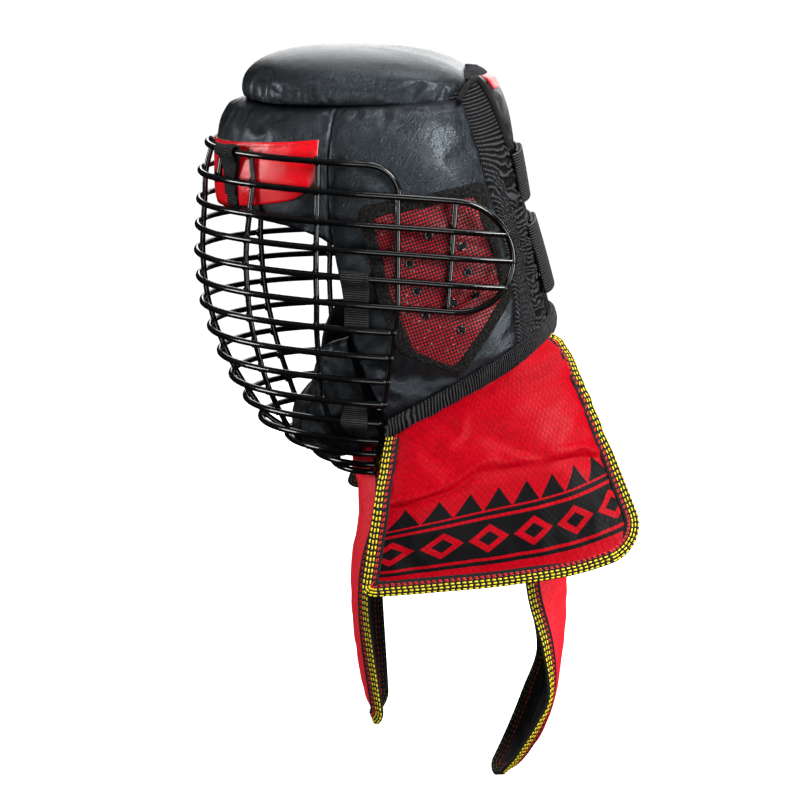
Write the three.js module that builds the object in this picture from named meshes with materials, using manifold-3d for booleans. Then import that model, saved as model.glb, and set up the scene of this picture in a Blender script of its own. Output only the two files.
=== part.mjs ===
// Stick fighting headgear: a padded helmet, a welded wire face cage and four hanging guard flaps.
// Millimetres. The origin is where the top of the head meets the crown's lining; the face looks
// along -Y, the wearer's left is +X and up is +Z.
import * as THREE from "three";
import { mergeVertices } from "three/addons/utils/BufferGeometryUtils.js";
import Module from "manifold-3d";

const wasm = await Module();
wasm.setup();
const { lerp, clamp, degToRad, smoothstep } = THREE.MathUtils;
const vec = (x, y, z) => new THREE.Vector3(x, y, z);

// Padding and gaps
const WALL = 22; // padded wall, cover to lining
const SEAM_DIP = 6; // how far a padded cover sinks at its sewn edges
const LINING_DIP = 0.4; // the lining's share of that dip
const GAP = 0.5; // left between neighbouring pieces
const LEATHER = 1.8; // sewn-on patches
const WEBBING = 3; // elastic and webbing

// Padded shell: reach of its cover at each height, and the powers of its plan outline
const SHELL = [
  { z: -275, front: -98, back: 163, half: 92 },
  { z: -185, front: -102, back: 154, half: 97 },
  { z: -120, front: -105, back: 142, half: 97 },
  { z: -70, front: -107, back: 129, half: 95 },
  { z: -38, front: -104, back: 119, half: 88 },
  { z: -10, front: -90, back: 109, half: 74 },
  { z: 14, front: -74, back: 98, half: 58 },
];
const FRONT_POWER = 2;
const BACK_POWER = 2.5;
const WIDEST = 0.54; // where along its length the shell is widest
const CROWN = { seam: -11, spring: -3, top: 26, front: -91, back: 86, half: 72, power: 2.35, rim: 0.945, frontPower: 2.2, backPower: 3.6 };
const CROWN_LINING = { top: 0, rim: 0.72 };
const WALL_TOP = -12; // where the wall pads meet the crown
const NECK = { y: 20, z: -261, slope: 0.56, tape: 12 }; // lower edge of the shell in side view

// Side pad: its front and back seams, from the crown down to the neck tape
const SIDE = [
  { frontY: -10, frontZ: -12, backY: 80, backZ: -12 },
  { frontY: -14, frontZ: -50, backY: 93, backZ: -45 },
  { frontY: -16, frontZ: -91, backY: 104, backZ: -84 },
  { frontY: -13, frontZ: -125, backY: 113, backZ: -118 },
  { frontY: -6, frontZ: -165, backY: 119, backZ: -146 },
  { frontY: 6, frontZ: -207, backY: 122, backZ: -166 },
  { frontY: 26, frontZ: -243.5, backY: 124, backZ: -188.5 },
];
const BROW = { middle: -99, arch: 6, corner: 13 }; // lower edge of the front pad
const PATCH = { top: -45, topRise: 8, bottom: -94, bottomRise: 11, corner: 22, reach: 0.86 };
const BACK_PANEL = { top: 8, half: 38, topWall: 7, wall: 19 };
const BACK_PATCH = { top: 4, bottom: -34, half: 26 };
const STRAPS = [
  { name: "upper", top: -54, bottom: -92 },
  { name: "lower", top: -112, bottom: -153 },
];
const STRAP = { reach: 64, overlap: 26, thick: 2.4 };

// Ear panel outline in side view, and the width of the felt border round its mesh
const EAR = [
  { y: 4, z: -85 },
  { y: 52, z: -74 },
  { y: 99, z: -68 },
  { y: 111, z: -112 },
  { y: 117, z: -153 },
  { y: 98, z: -186 },
  { y: 79, z: -211 },
  { y: 59, z: -206 },
  { y: 40, z: -197 },
  { y: 32, z: -175 },
  { y: 24, z: -153 },
  { y: 15, z: -120 },
];
const EAR_BORDER = 0.74;
const EAR_THICK = { mesh: 1.8, border: 2.4 };

// Jaw guard: a sling from one cheek to the other, its upper and lower edges at the chin and the ends
const JAW = { topHalf: 84, topEnd: 4, topReach: 54, topZ: -252, topRise: 46 };
const JAW_LOW = { half: 69, end: 27, reach: 37, z: -281, rise: 24, wall: 14 };

// Cage: every horizontal loop, from the brow down; a wing row runs on over the ear
const CAGE = [
  { z: -48, front: -116, half: 102, rear: 12 },
  { z: -70, front: -122, half: 105, rear: 30 },
  { z: -92.5, front: -123.5, half: 107, rear: 30 },
  { z: -112.5, front: -125, half: 107, rear: 30 },
  { z: -133, front: -126, half: 107, rear: 30 },
  { z: -153.5, front: -125, half: 107, rear: 30 },
  { z: -173.5, front: -122.5, half: 105, rear: 28 },
  { z: -194, front: -117, half: 102.5, rear: 26 },
  { z: -214, front: -109.5, half: 99, rear: 24 },
  { z: -233, front: -100.5, half: 95, rear: 22 },
  { z: -251, front: -89.5, half: 86, rear: 20.5 },
  { z: -268, front: -77.5, half: 76, rear: 19 },
  { z: -282, front: -61, half: 66, rear: 17 },
  { z: -294.5, front: -41, half: 54, rear: 15.5 },
  { z: -304, front: -26.5, half: 42, rear: 13.5 },
];
const WIRE = { loop: 5.2, upright: 4.4, sides: 5, bite: 0.5 };
const CAGE_SAG = 0.0002; // how a loop drops toward the back
const WING = { first: 1, last: 5, arcY: 78, reach: 43, tuck: 0.003, from: 62 };
const UPRIGHTS = [
  { turn: 0, first: 1, last: 14 },
  { turn: 25, first: 0, last: 1 },
  { turn: 44.5, first: 0, last: 14 },
  { turn: 69, first: 0, last: 12 },
];
const EAR_UPRIGHT = { top: 78, bottom: 72 };
const TABS = [
  { name: "forehead_tab", bar: 0, turn: 33, front: 12, back: 40 },
  { name: "cheek_tab", bar: 4, turn: 80, front: 9, back: 38 },
  { name: "jaw_tab", bar: 10, turn: 80, front: 8, back: 12 },
];
const TAB = { width: 20, thick: 1.6, clear: 1.2 };

// Guard flaps
const FLAP = { thick: 6, tape: 1.4, tapeIn: 12, tapeOut: 1.4, corner: 0.12 };
const SIDE_FLAP = { frontY: 29, backX: 36, creaseFront: 0.43, creaseBack: 0.66, ridge: 4 };
const SIDE_FLAPS = [
  { name: "left", side: 1, front: [134, 16, -373.5], middle: [148, 133, -366], back: [82, 221, -338] },
  { name: "right", side: -1, front: [134, -8, -369], middle: [148, 128, -366], back: [82, 221, -338] },
];
const FRONT_FLAP = [
  { z: -280, half: 29, middle: -3, edge: 1 },
  { z: -310, half: 29, middle: -3, edge: 1 },
  { z: -345, half: 60, middle: -2, edge: 13 },
  { z: -425, half: 70, middle: -3.6, edge: 15.5 },
  { z: -500, half: 74, middle: 4.4, edge: 20 },
];
const BACK_FLAP = [
  { z: -192, half: 56, middle: 139, edge: 122, drop: 12 },
  { z: -300, half: 62, middle: 156, edge: 128, drop: 0 },
  { z: -400, half: 62, middle: 168, edge: 138, drop: 0 },
  { z: -462, half: 62, middle: 166, edge: 158, drop: 0 },
  { z: -500, half: 62, middle: 157, edge: 153, drop: 0 },
  { z: -537, half: 62, middle: 141, edge: 139, drop: 0 },
  { z: -557, half: 60, middle: 119, edge: 117, drop: 0 },
];

const FINISH = {
  leather: { color: 0x1b1b1d, roughness: 0.5 },
  redLeather: { color: 0xc0161c, roughness: 0.42 },
  webbing: { color: 0x121213, roughness: 0.85 },
  mesh: { color: 0x8a1420, roughness: 0.8 },
  felt: { color: 0x1a1615, roughness: 0.95 },
  wire: { color: 0x0b0b0c, roughness: 0.25, metalness: 0.3 },
  flapCloth: { color: 0xc81626, roughness: 0.5 },
  tape: { color: 0x2a2410, roughness: 0.8 },
};

// A smooth curve through a table's rows, read by one of its columns
function through(rows, by, ...names) {
  const places = rows.map((row) => row[by]);
  const values = rows.flatMap((row) => names.map((name) => row[name]));
  const curve = new THREE.CubicInterpolant(places, values, names.length);
  return (at) => {
    const found = curve.evaluate(clamp(at, places[0], places.at(-1)));
    return Object.fromEntries(names.map((name, i) => [name, found[i]]));
  };
}

// The same, read by the share of the table's rows passed
function along(rows, ...names) {
  const counted = rows.map((row, i) => ({ ...row, share: i / (rows.length - 1) }));
  return through(counted, "share", ...names);
}

// One closed body from positions and triangles, facing out
function closedBody(points, index) {
  const loose = new THREE.BufferGeometry().setFromPoints(points);
  loose.setIndex(index);
  const geometry = mergeVertices(loose, 1e-4);
  const merged = geometry.index.array;
  const place = (i) => new THREE.Vector3().fromBufferAttribute(geometry.attributes.position, merged[i]);
  let kept = [];
  let volume = 0;
  for (let i = 0; i < merged.length; i += 3) {
    const [a, b, c] = merged.slice(i, i + 3);
    if (a === b || b === c || c === a) continue;
    kept.push(a, b, c);
    volume += place(i).dot(place(i + 1).cross(place(i + 2)));
  }
  if (volume < 0) kept = kept.reverse();
  geometry.setIndex(kept);
  return geometry;
}

// A solid lofted through section loops. A section's far half runs back beside its near half, so
// the two ends are closed by strips between them.
function loft(sections, ring = false) {
  const count = sections[0].length;
  const index = [];
  const quad = (a, b, c, d) => index.push(a, b, c, a, c, d);
  const spans = ring ? sections.length : sections.length - 1;
  for (let i = 0; i < spans; i++) {
    const here = i * count;
    const next = ((i + 1) % sections.length) * count;
    for (let j = 0; j < count; j++) {
      const k = (j + 1) % count;
      quad(here + j, here + k, next + k, next + j);
    }
  }
  if (!ring) {
    const last = (sections.length - 1) * count;
    for (let j = 0; j < count / 2 - 1; j++) {
      const far = count - 1 - j;
      quad(far, far - 1, j + 1, j);
      quad(last + j, last + j + 1, last + far - 1, last + far);
    }
  }
  return closedBody(sections.flat(), index);
}

// Steps from 0 to 1 that crowd toward both ends
const steps = (count) =>
  Array.from({ length: count + 1 }, (_, i) => lerp(i / count, 0.5 - 0.5 * Math.cos((Math.PI * i) / count), 0.75));

// A padded panel over a net of columns and rows; place(u, v, depth) gives its points
function panel(place, columns, rows, { wall = WALL, dip = SEAM_DIP } = {}) {
  const swell = (t) => 1 - Math.abs(2 * t - 1) ** 6;
  const thick = typeof wall === "function" ? wall : () => wall;
  const sections = steps(columns).map((u) => {
    const cover = [];
    const lining = [];
    for (const v of steps(rows)) {
      const sink = dip * (1 - swell(u) * swell(v));
      cover.push(place(u, v, sink));
      lining.unshift(place(u, v, thick(u, v) - sink * LINING_DIP));
    }
    return [...cover, ...lining];
  });
  return loft(sections);
}

// Shell surface
const shellRow = through(SHELL, "z", "front", "back", "half");

function shellHalf(z, behind) {
  const { front, back, half } = shellRow(z);
  const centre = lerp(front, back, WIDEST);
  return behind
    ? { half, centre, reach: back - centre, power: BACK_POWER }
    : { half, centre, reach: centre - front, power: FRONT_POWER };
}

// A point of the shell: turn is 0 at the brow, 90 degrees over the left ear and 180 at the back
function shellPoint(turn, z, depth = 0) {
  const behind = Math.cos(turn) < 0;
  const { half, centre, reach, power } = shellHalf(z, behind);
  const sine = Math.sin(turn);
  const cosine = Math.cos(turn);
  const x = half * Math.sign(sine) * Math.abs(sine) ** (2 / power);
  const y = -reach * Math.sign(cosine) * Math.abs(cosine) ** (2 / power);
  const slopeX = (Math.sign(x) * Math.abs(x / half) ** (power - 1)) / half;
  const slopeY = (Math.sign(y) * Math.abs(y / reach) ** (power - 1)) / reach;
  const inward = vec(-slopeX, -slopeY, 0).normalize();
  return vec(x, centre + y, z).addScaledVector(inward, depth);
}

function turnAtY(y, z) {
  const behind = y > shellHalf(z, true).centre;
  const { centre, reach, power } = shellHalf(z, behind);
  const share = clamp(Math.abs(y - centre) / reach, 0, 1) ** (power / 2);
  return Math.acos(behind ? -share : share);
}

function turnAtX(x, z) {
  const { half, power } = shellHalf(z, true);
  return Math.PI - Math.asin(clamp(x / half, 0, 1) ** (power / 2));
}

// Height of the neck edge where a turn meets it
function neckZ(turn) {
  let z = NECK.z;
  for (let i = 0; i < 12; i++) z = NECK.z + NECK.slope * (shellPoint(turn, z).y - NECK.y);
  return z;
}
const neckTop = (turn) => neckZ(turn) + NECK.tape + 2 * GAP;
const mirrored = (side, place) => (u, v, depth) => place(u, v, depth).multiply(vec(side, 1, 1));
const sideSeam = along(SIDE, "frontY", "frontZ", "backY", "backZ");
const frontSeamY = through([...SIDE].reverse(), "frontZ", "frontY");
const backSeamY = through([...SIDE].reverse(), "backZ", "backY");

// Padded pieces
function crownPad() {
  const middle = (CROWN.front + CROWN.back) / 2;
  const reach = (CROWN.back - CROWN.front) / 2;
  const curve = (power, turn) => [Math.sin(turn) ** (2 / power), Math.cos(turn) ** (2 / power)];
  const profile = [];
  for (let i = 0; i <= 6; i++) {
    const [r, rise] = curve(CROWN.power, (i / 6) * (Math.PI / 2));
    profile.push([r, lerp(CROWN.spring, CROWN.top, rise)]);
  }
  profile.push([CROWN.rim, CROWN.seam]);
  for (let i = 3; i >= 0; i--) {
    const [r, rise] = curve(2, (i / 3) * (Math.PI / 2));
    profile.push([r * CROWN_LINING.rim, lerp(CROWN.seam, CROWN_LINING.top, rise)]);
  }
  const sections = [];
  for (let i = 0; i < 24; i++) {
    const turn = (i / 24) * 2 * Math.PI;
    const bend = 2 / (Math.cos(turn) < 0 ? CROWN.backPower : CROWN.frontPower);
    const across = Math.sign(Math.sin(turn)) * Math.abs(Math.sin(turn)) ** bend;
    const ahead = Math.sign(Math.cos(turn)) * Math.abs(Math.cos(turn)) ** bend;
    sections.push(profile.map(([r, z]) => vec(CROWN.half * r * across, middle - reach * r * ahead, z)));
  }
  return loft(sections, true);
}

// Share of the front pad from its middle (0) to its side seams (-1 and 1), and its lower edge
const frontTurn = (share, z) => share * turnAtY(frontSeamY(z).frontY - 2 * GAP, z);
const browZ = (share) => BROW.middle - BROW.arch * share ** 2 - BROW.corner * share ** 8;

function frontPad() {
  return panel(
    (u, v, depth) => {
      const share = 2 * u - 1;
      const z = lerp(WALL_TOP, browZ(share), v);
      return shellPoint(frontTurn(share, z), z, depth);
    },
    16,
    6,
  );
}

function sidePad(side) {
  const place = (u, v, depth) => {
    const seam = sideSeam(v);
    const z = lerp(seam.frontZ, seam.backZ, u);
    return shellPoint(turnAtY(lerp(seam.frontY, seam.backY, u), z), z, depth);
  };
  return panel(mirrored(side, place), 10, 9);
}

function backPanel() {
  const edge = (z) => Math.PI - turnAtX(BACK_PANEL.half, z);
  return panel(
    (u, v, depth) => {
      const z = lerp(BACK_PANEL.top, neckTop(Math.PI), v);
      const bottom = neckTop(Math.PI + (2 * u - 1) * edge(z));
      const level = z + (bottom - neckTop(Math.PI)) * v ** 6;
      return shellPoint(Math.PI + (2 * u - 1) * edge(level), level, depth);
    },
    6,
    8,
    { wall: (u, v) => lerp(BACK_PANEL.topWall, BACK_PANEL.wall, smoothstep(v, 0.05, 0.4)), dip: 4 },
  );
}

function backWeb(side) {
  const place = (u, v, depth) => {
    const start = (z) => turnAtY(backSeamY(z).backY + 2 * GAP, z);
    const stop = (z) => turnAtX(BACK_PANEL.half + 3 * GAP, z);
    const guess = lerp(WALL_TOP, neckTop(lerp(start(-190), stop(-190), u)), v);
    return shellPoint(lerp(start(guess), stop(guess), u), guess, depth + 3);
  };
  return panel(mirrored(side, place), 3, 8, { wall: WEBBING, dip: 0 });
}

// Elastic that carries the web over from the crown's rear edge to the back panel
function topWeb() {
  const rows = [
    { y: 78, z: 16.5 },
    { y: 86, z: 13.5 },
    { y: 96, z: 9.5 },
  ];
  const line = along(rows, "y", "z");
  return panel(
    (u, v, depth) => {
      const { y, z } = line(v);
      const x = lerp(-36, 36, u);
      return vec(x, y - (x / 36) ** 2 * 5, z + WEBBING - depth);
    },
    8,
    2,
    { wall: WEBBING, dip: 0 },
  );
}

function jawGuard() {
  const place = (u, v, depth) => {
    const edge = (turn) => {
      const sine = Math.sin(turn);
      const cosine = Math.cos(turn);
      return [
        vec(JAW.topHalf * sine, JAW.topEnd - JAW.topReach * cosine, JAW.topZ + JAW.topRise * (1 - cosine)),
        vec(JAW_LOW.half * sine, JAW_LOW.end - JAW_LOW.reach * cosine, JAW_LOW.z + JAW_LOW.rise * (1 - cosine)),
      ];
    };
    const turn = lerp(-Math.PI / 2, Math.PI / 2, u);
    const [top, low] = edge(turn);
    const [nextTop, nextLow] = edge(turn + 0.01);
    const point = top.clone().lerp(low, v);
    const across = nextTop.lerp(nextLow, v).sub(point);
    const inward = across.cross(low.sub(top)).normalize();
    return point.addScaledVector(inward, depth);
  };
  return panel(place, 16, 3, { wall: JAW_LOW.wall, dip: 4 });
}

// Sewn-on pieces
function foreheadPatch() {
  return panel(
    (u, v, depth) => {
      const share = PATCH.reach * (2 * u - 1);
      const round = PATCH.corner * smoothstep(Math.abs(2 * u - 1), 0.7, 1) ** 1.5;
      const top = PATCH.top + PATCH.topRise * share ** 2;
      const z = lerp(top, PATCH.bottom + PATCH.bottomRise * share ** 2 + round, v);
      return shellPoint(frontTurn(share, z), z, depth - LEATHER - 3 * GAP);
    },
    14,
    2,
    { wall: LEATHER, dip: 0 },
  );
}

function backPatch() {
  return panel(
    (u, v, depth) => {
      const z = lerp(BACK_PATCH.top, BACK_PATCH.bottom, v);
      const edge = Math.PI - turnAtX(BACK_PATCH.half, z);
      return shellPoint(Math.PI + (2 * u - 1) * edge, z, depth - LEATHER - GAP);
    },
    4,
    2,
    { wall: LEATHER, dip: 0 },
  );
}

// A strap is a base strip sewn at one side and a tab that closes over it from the other
function strapStrip({ top, bottom }, from, to, lift) {
  return panel(
    (u, v, depth) => {
      const x = lerp(from, to, u);
      const z = lerp(top, bottom, v);
      const turn = x < 0 ? 2 * Math.PI - turnAtX(-x, z) : turnAtX(x, z);
      return shellPoint(turn, z, depth - lift);
    },
    8,
    1,
    { wall: STRAP.thick, dip: 0 },
  );
}

// A thin piece laid on the side pad, between two shares of the ear outline
function earPiece(side, inner, outer, rise, thick) {
  const outline = new THREE.CatmullRomCurve3(EAR.map(({ y, z }) => vec(0, y, z)), true, "centripetal");
  const middle = EAR.reduce((sum, { y, z }) => sum.add(vec(0, y, z)), vec(0, 0, 0)).divideScalar(EAR.length);
  const shares = inner ? [inner, outer] : [inner, (inner + outer) / 2, outer];
  const sections = outline.getPoints(18).slice(1).map((edge) => {
    const lay = (share, depth) => {
      const { y, z } = middle.clone().lerp(edge, share);
      return shellPoint(turnAtY(y, z), z, depth).multiply(vec(side, 1, 1));
    };
    const cover = shares.map((share) => lay(share, -rise - thick));
    const under = shares.map((share) => lay(share, -rise)).reverse();
    return [...cover, ...under];
  });
  return loft(sections, true);
}

// Tape round the neck edge, from one jaw to the other by way of the back
function neckTape() {
  const start = turnAtY(NECK.y + 7.5, NECK.z);
  const sections = [];
  for (let i = 0; i <= 24; i++) {
    const turn = lerp(start, 2 * Math.PI - start, i / 24);
    const low = neckZ(turn);
    const high = low + NECK.tape;
    sections.push([
      shellPoint(turn, high, 2),
      shellPoint(turn, low, 2),
      shellPoint(turn, low, 8),
      shellPoint(turn, high, 8),
    ]);
  }
  return loft(sections);
}

// Cage
function wingX(bar, y) {
  return bar.half - WING.tuck * Math.max(0, y - WING.from) ** 2;
}

const barZ = (bar, y) => bar.z - CAGE_SAG * (y - bar.front) ** 2;

// A point of a loop, inset toward the face; past 90 degrees it runs straight back
function barPoint(bar, turn, inset = 0) {
  const side = Math.sign(turn) || 1;
  const angle = Math.min(Math.abs(turn), Math.PI / 2);
  const y = bar.rear - (bar.rear - bar.front - inset) * Math.cos(angle);
  return vec(side * (bar.half - inset) * Math.sin(angle), y, barZ(bar, y));
}

function wire(points, diameter) {
  const radius = diameter / 2;
  const ring = [];
  for (let i = 0; i < WIRE.sides; i++) {
    const turn = (i / WIRE.sides) * 2 * Math.PI;
    ring.push(new THREE.Vector2(radius * Math.cos(turn), radius * Math.sin(turn)));
  }
  const path = new THREE.CatmullRomCurve3(points, false, "centripetal");
  const steps = points.length - 1;
  const tube = new THREE.ExtrudeGeometry(new THREE.Shape(ring), { steps, extrudePath: path, bevelEnabled: false });
  const spots = tube.attributes.position;
  const corners = Array.from({ length: spots.count }, (_, i) => new THREE.Vector3().fromBufferAttribute(spots, i));
  return solidOf(closedBody(corners, corners.map((_, i) => i)));
}

function solidOf(geometry) {
  return new wasm.Manifold(
    new wasm.Mesh({
      numProp: 3,
      vertProperties: new Float32Array(geometry.attributes.position.array),
      triVerts: new Uint32Array(geometry.index.array),
    }),
  );
}

function geometryOf(solid) {
  const mesh = solid.getMesh();
  const geometry = new THREE.BufferGeometry();
  geometry.setAttribute("position", new THREE.BufferAttribute(mesh.vertProperties, 3));
  geometry.setIndex(new THREE.BufferAttribute(mesh.triVerts, 1));
  return geometry;
}

// Rear end of a wing bar, on the rounded frame that the first and last wing bars make
function wingEnd(z) {
  const top = CAGE[WING.first].z;
  const bottom = CAGE[WING.last].z;
  const height = (z - (top + bottom) / 2) / ((top - bottom) / 2);
  return WING.arcY + WING.reach * Math.sqrt(Math.max(0, 1 - height ** 2));
}

function cage() {
  const wires = [];
  const inset = (WIRE.loop + WIRE.upright) / 2 - WIRE.bite;
  CAGE.forEach((bar, row) => {
    const winged = row >= WING.first && row <= WING.last;
    const front = [];
    for (let i = -5; i <= 5; i++) front.push(barPoint(bar, (i / 5) * (Math.PI / 2)));
    const tail = [];
    if (row === 0) {
      for (const turn of [45, 90]) {
        const y = bar.rear + 24 * Math.sin(degToRad(turn));
        tail.push(vec(bar.half + 1, y, barZ(bar, bar.rear) - 24 * (1 - Math.cos(degToRad(turn)))));
      }
    }
    if (winged) {
      const end = wingEnd(bar.z);
      for (const share of [0.5, 1]) {
        const y = lerp(bar.rear, end, share);
        tail.push(vec(wingX(bar, y), y, barZ(bar, y)));
      }
    }
    const far = tail.map((p) => p.clone().multiply(vec(-1, 1, 1))).reverse();
    wires.push(wire([...far, ...front, ...tail], WIRE.loop));
  });
  for (const side of [1, -1]) {
    const top = CAGE[WING.first];
    const bottom = CAGE[WING.last];
    const frame = [];
    for (let i = 0; i <= 6; i++) {
      const turn = lerp(Math.PI / 2, -Math.PI / 2, i / 6);
      const y = WING.arcY + WING.reach * Math.cos(turn);
      const share = 0.5 - 0.5 * Math.sin(turn);
      const z = lerp(barZ(top, y), barZ(bottom, y), share);
      frame.push(vec(side * wingX(bottom, y), y, z));
    }
    wires.push(wire(frame, WIRE.loop));
    const rear = CAGE.slice(1).map((bar) => {
      const y = bar.rear + (bar.rear - CAGE.at(-1).rear) * 0.3;
      return vec(side * (bar.half - inset / 2), y, barZ(bar, y));
    });
    wires.push(wire(rear, WIRE.upright));
    const ear = [top, CAGE[3], bottom].map((bar, i) => {
      const y = lerp(EAR_UPRIGHT.top, EAR_UPRIGHT.bottom, i / 2);
      return vec(side * (wingX(bar, y) - inset), y, barZ(bar, y));
    });
    wires.push(wire(ear, WIRE.upright));
  }
  for (const { turn, first, last } of UPRIGHTS) {
    for (const side of turn ? [1, -1] : [1]) {
      const points = CAGE.slice(first, last + 1).map((bar) => barPoint(bar, side * degToRad(turn), inset));
      wires.push(wire(points, WIRE.upright));
    }
  }
  return geometryOf(wires.reduce((whole, next) => whole.add(next)));
}

// A webbing tab folded over a cage bar
function cageTab({ bar, turn, front, back }, side) {
  const row = CAGE[bar];
  const near = WIRE.loop / 2 + TAB.clear;
  const far = near + TAB.thick;
  const middle = degToRad(turn);
  const perTurn = barPoint(row, middle + 0.05).distanceTo(barPoint(row, middle - 0.05)) / 0.1;
  const halfTurn = TAB.width / 2 / perTurn;
  const sections = [-1, 0, 1].map((share) => {
    const angle = middle + share * halfTurn;
    const at = barPoint(row, angle);
    const next = barPoint(row, angle + 0.01);
    const ahead = next.sub(at).setZ(0).normalize();
    const out = vec(ahead.y, -ahead.x, 0);
    const lay = (away, up) => at.clone().addScaledVector(out, away).setZ(at.z + up).multiply(vec(side, 1, 1));
    const fold = [150, 90, 30].map(degToRad);
    const outer = [lay(far, -front), lay(far, 0)];
    const inner = [lay(near, -front), lay(near, 0)];
    for (const turnUp of fold.reverse()) {
      outer.push(lay(far * Math.cos(turnUp), far * Math.sin(turnUp)));
      inner.push(lay(near * Math.cos(turnUp), near * Math.sin(turnUp)));
    }
    outer.push(lay(-far, 0), lay(-far, -back));
    inner.push(lay(-near, 0), lay(-near, -back));
    return [...outer, ...inner.reverse()];
  });
  return loft(sections);
}

// Flaps: a padded panel with rounded lower corners, and the folded tape that binds its free edges
function flapPieces(surface, outward, columns, rows) {
  const corner = FLAP.corner;
  const trim = (v) => {
    const low = Math.max(0, (v - (1 - corner)) / corner);
    return corner * 0.8 * (1 - Math.sqrt(Math.max(0, 1 - low ** 2)));
  };
  const spread = (u, v) => surface(lerp(trim(v), 1 - trim(v), u), v);
  const facing = (u, v) => {
    const [a, b] = [clamp(u, 0.01, 0.99), clamp(v, 0.01, 0.99)];
    const across = surface(a + 0.01, b).sub(surface(a - 0.01, b));
    const down = surface(a, b + 0.01).sub(surface(a, b - 0.01));
    const normal = across.cross(down).normalize();
    return normal.dot(outward(u)) < 0 ? normal.negate() : normal;
  };
  const place = (u, v, depth) => spread(u, v).addScaledVector(facing(u, v), FLAP.thick / 2 - depth);
  const body = panel(place, columns, rows, { wall: FLAP.thick, dip: 0 });

  const down = steps(rows);
  const across = steps(columns).slice(1, -1);
  const edge = [
    ...down.map((v) => [0, v]),
    ...across.map((u) => [u, 1]),
    ...down.toReversed().map((v) => [1, v]),
  ];
  const points = edge.map(([u, v]) => spread(u, v));
  const centre = spread(0.5, 0.5);
  const inside = FLAP.thick / 2 + 3 * GAP;
  const outside = inside + FLAP.tape;
  const sections = edge.map(([u, v], i) => {
    const ahead = points[Math.min(i + 1, points.length - 1)].clone().sub(points[Math.max(i - 1, 0)]);
    const normal = facing(u, v);
    const away = ahead.cross(normal).normalize();
    if (away.dot(points[i].clone().sub(centre)) < 0) away.negate();
    const lay = (out, up) => points[i].clone().addScaledVector(away, out).addScaledVector(normal, up);
    return [
      lay(-FLAP.tapeIn, outside),
      lay(GAP + FLAP.tapeOut, outside),
      lay(GAP + FLAP.tapeOut, -outside),
      lay(-FLAP.tapeIn, -outside),
      lay(-FLAP.tapeIn, -inside),
      lay(GAP, -inside),
      lay(GAP, inside),
      lay(-FLAP.tapeIn, inside),
    ];
  });
  return { body, tape: loft(sections) };
}

function sideFlap({ side, front, middle, back }) {
  const hem = new THREE.QuadraticBezierCurve3(vec(...front), vec(...middle), vec(...back));
  const first = turnAtY(SIDE_FLAP.frontY, NECK.z);
  const last = turnAtX(SIDE_FLAP.backX, NECK.z + 70);
  const surface = (u, v) => {
    const turn = lerp(first, last, u);
    const top = shellPoint(turn, neckZ(turn) - 5 * GAP, 5);
    const crease = lerp(SIDE_FLAP.creaseFront, SIDE_FLAP.creaseBack, u);
    const share = v < 0.5 ? 2 * v * crease : lerp(crease, 1, 2 * v - 1);
    const point = top.lerp(hem.getPoint(u), share);
    const bulge = SIDE_FLAP.ridge * (1 - Math.abs(2 * v - 1)) ** 1.3;
    const out = shellPoint(turn, NECK.z, -1).sub(shellPoint(turn, NECK.z)).normalize();
    return point.addScaledVector(out, bulge).multiply(vec(side, 1, 1));
  };
  const outward = (u) => {
    const turn = lerp(first, last, u);
    return shellPoint(turn, NECK.z, -1).sub(shellPoint(turn, NECK.z)).multiply(vec(side, 1, 1));
  };
  return flapPieces(surface, outward, 6, 6);
}

function frontFlap() {
  const row = through([...FRONT_FLAP].reverse(), "z", "half", "middle", "edge");
  const [top, bottom] = [FRONT_FLAP[0].z, FRONT_FLAP.at(-1).z];
  const surface = (u, v) => {
    const z = lerp(top, bottom, v);
    const { half, middle, edge } = row(z);
    const share = 2 * u - 1;
    return vec(half * share, lerp(middle, edge, share ** 2), z);
  };
  return flapPieces(surface, () => vec(0, -1, 0), 6, 8);
}

function backFlap() {
  const row = along(BACK_FLAP, "z", "half", "middle", "edge", "drop");
  const surface = (u, v) => {
    const { z, half, middle, edge, drop } = row(v);
    const share = 2 * u - 1;
    return vec(half * share, lerp(middle, edge, share ** 2), z - drop * share ** 2);
  };
  return flapPieces(surface, () => vec(0, 1, 0), 6, 10);
}

// Assembly
const headgear = new THREE.Group();
headgear.name = "stick_fighting_headgear";

function add(name, geometry, finish) {
  geometry.computeVertexNormals();
  const mesh = new THREE.Mesh(geometry, new THREE.MeshStandardMaterial(finish));
  mesh.name = name;
  headgear.add(mesh);
}

add("crown_pad", crownPad(), FINISH.leather);
add("front_pad", frontPad(), FINISH.leather);
add("back_panel", backPanel(), FINISH.leather);
add("jaw_guard", jawGuard(), FINISH.leather);
add("forehead_patch", foreheadPatch(), FINISH.redLeather);
add("back_patch", backPatch(), FINISH.redLeather);
add("top_web", topWeb(), FINISH.webbing);
add("neck_tape", neckTape(), FINISH.webbing);
add("cage", cage(), FINISH.wire);

for (const strap of STRAPS) {
  add(`strap_${strap.name}`, strapStrip(strap, -STRAP.reach, STRAP.overlap, 1 + STRAP.thick), FINISH.webbing);
  const lift = 2 * STRAP.thick + 1 + GAP;
  add(`strap_tab_${strap.name}`, strapStrip(strap, -STRAP.overlap, STRAP.reach, lift), FINISH.webbing);
}

for (const [name, side] of [["left", 1], ["right", -1]]) {
  add(`side_pad_${name}`, sidePad(side), FINISH.leather);
  add(`back_web_${name}`, backWeb(side), FINISH.webbing);
  add(`ear_mesh_${name}`, earPiece(side, 0, EAR_BORDER - 0.01, 2 * GAP, EAR_THICK.mesh), FINISH.mesh);
  add(`ear_border_${name}`, earPiece(side, EAR_BORDER, 1, 2 * GAP, EAR_THICK.border), FINISH.felt);
  for (const tab of TABS) add(`${tab.name}_${name}`, cageTab(tab, side), FINISH.webbing);
}

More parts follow.
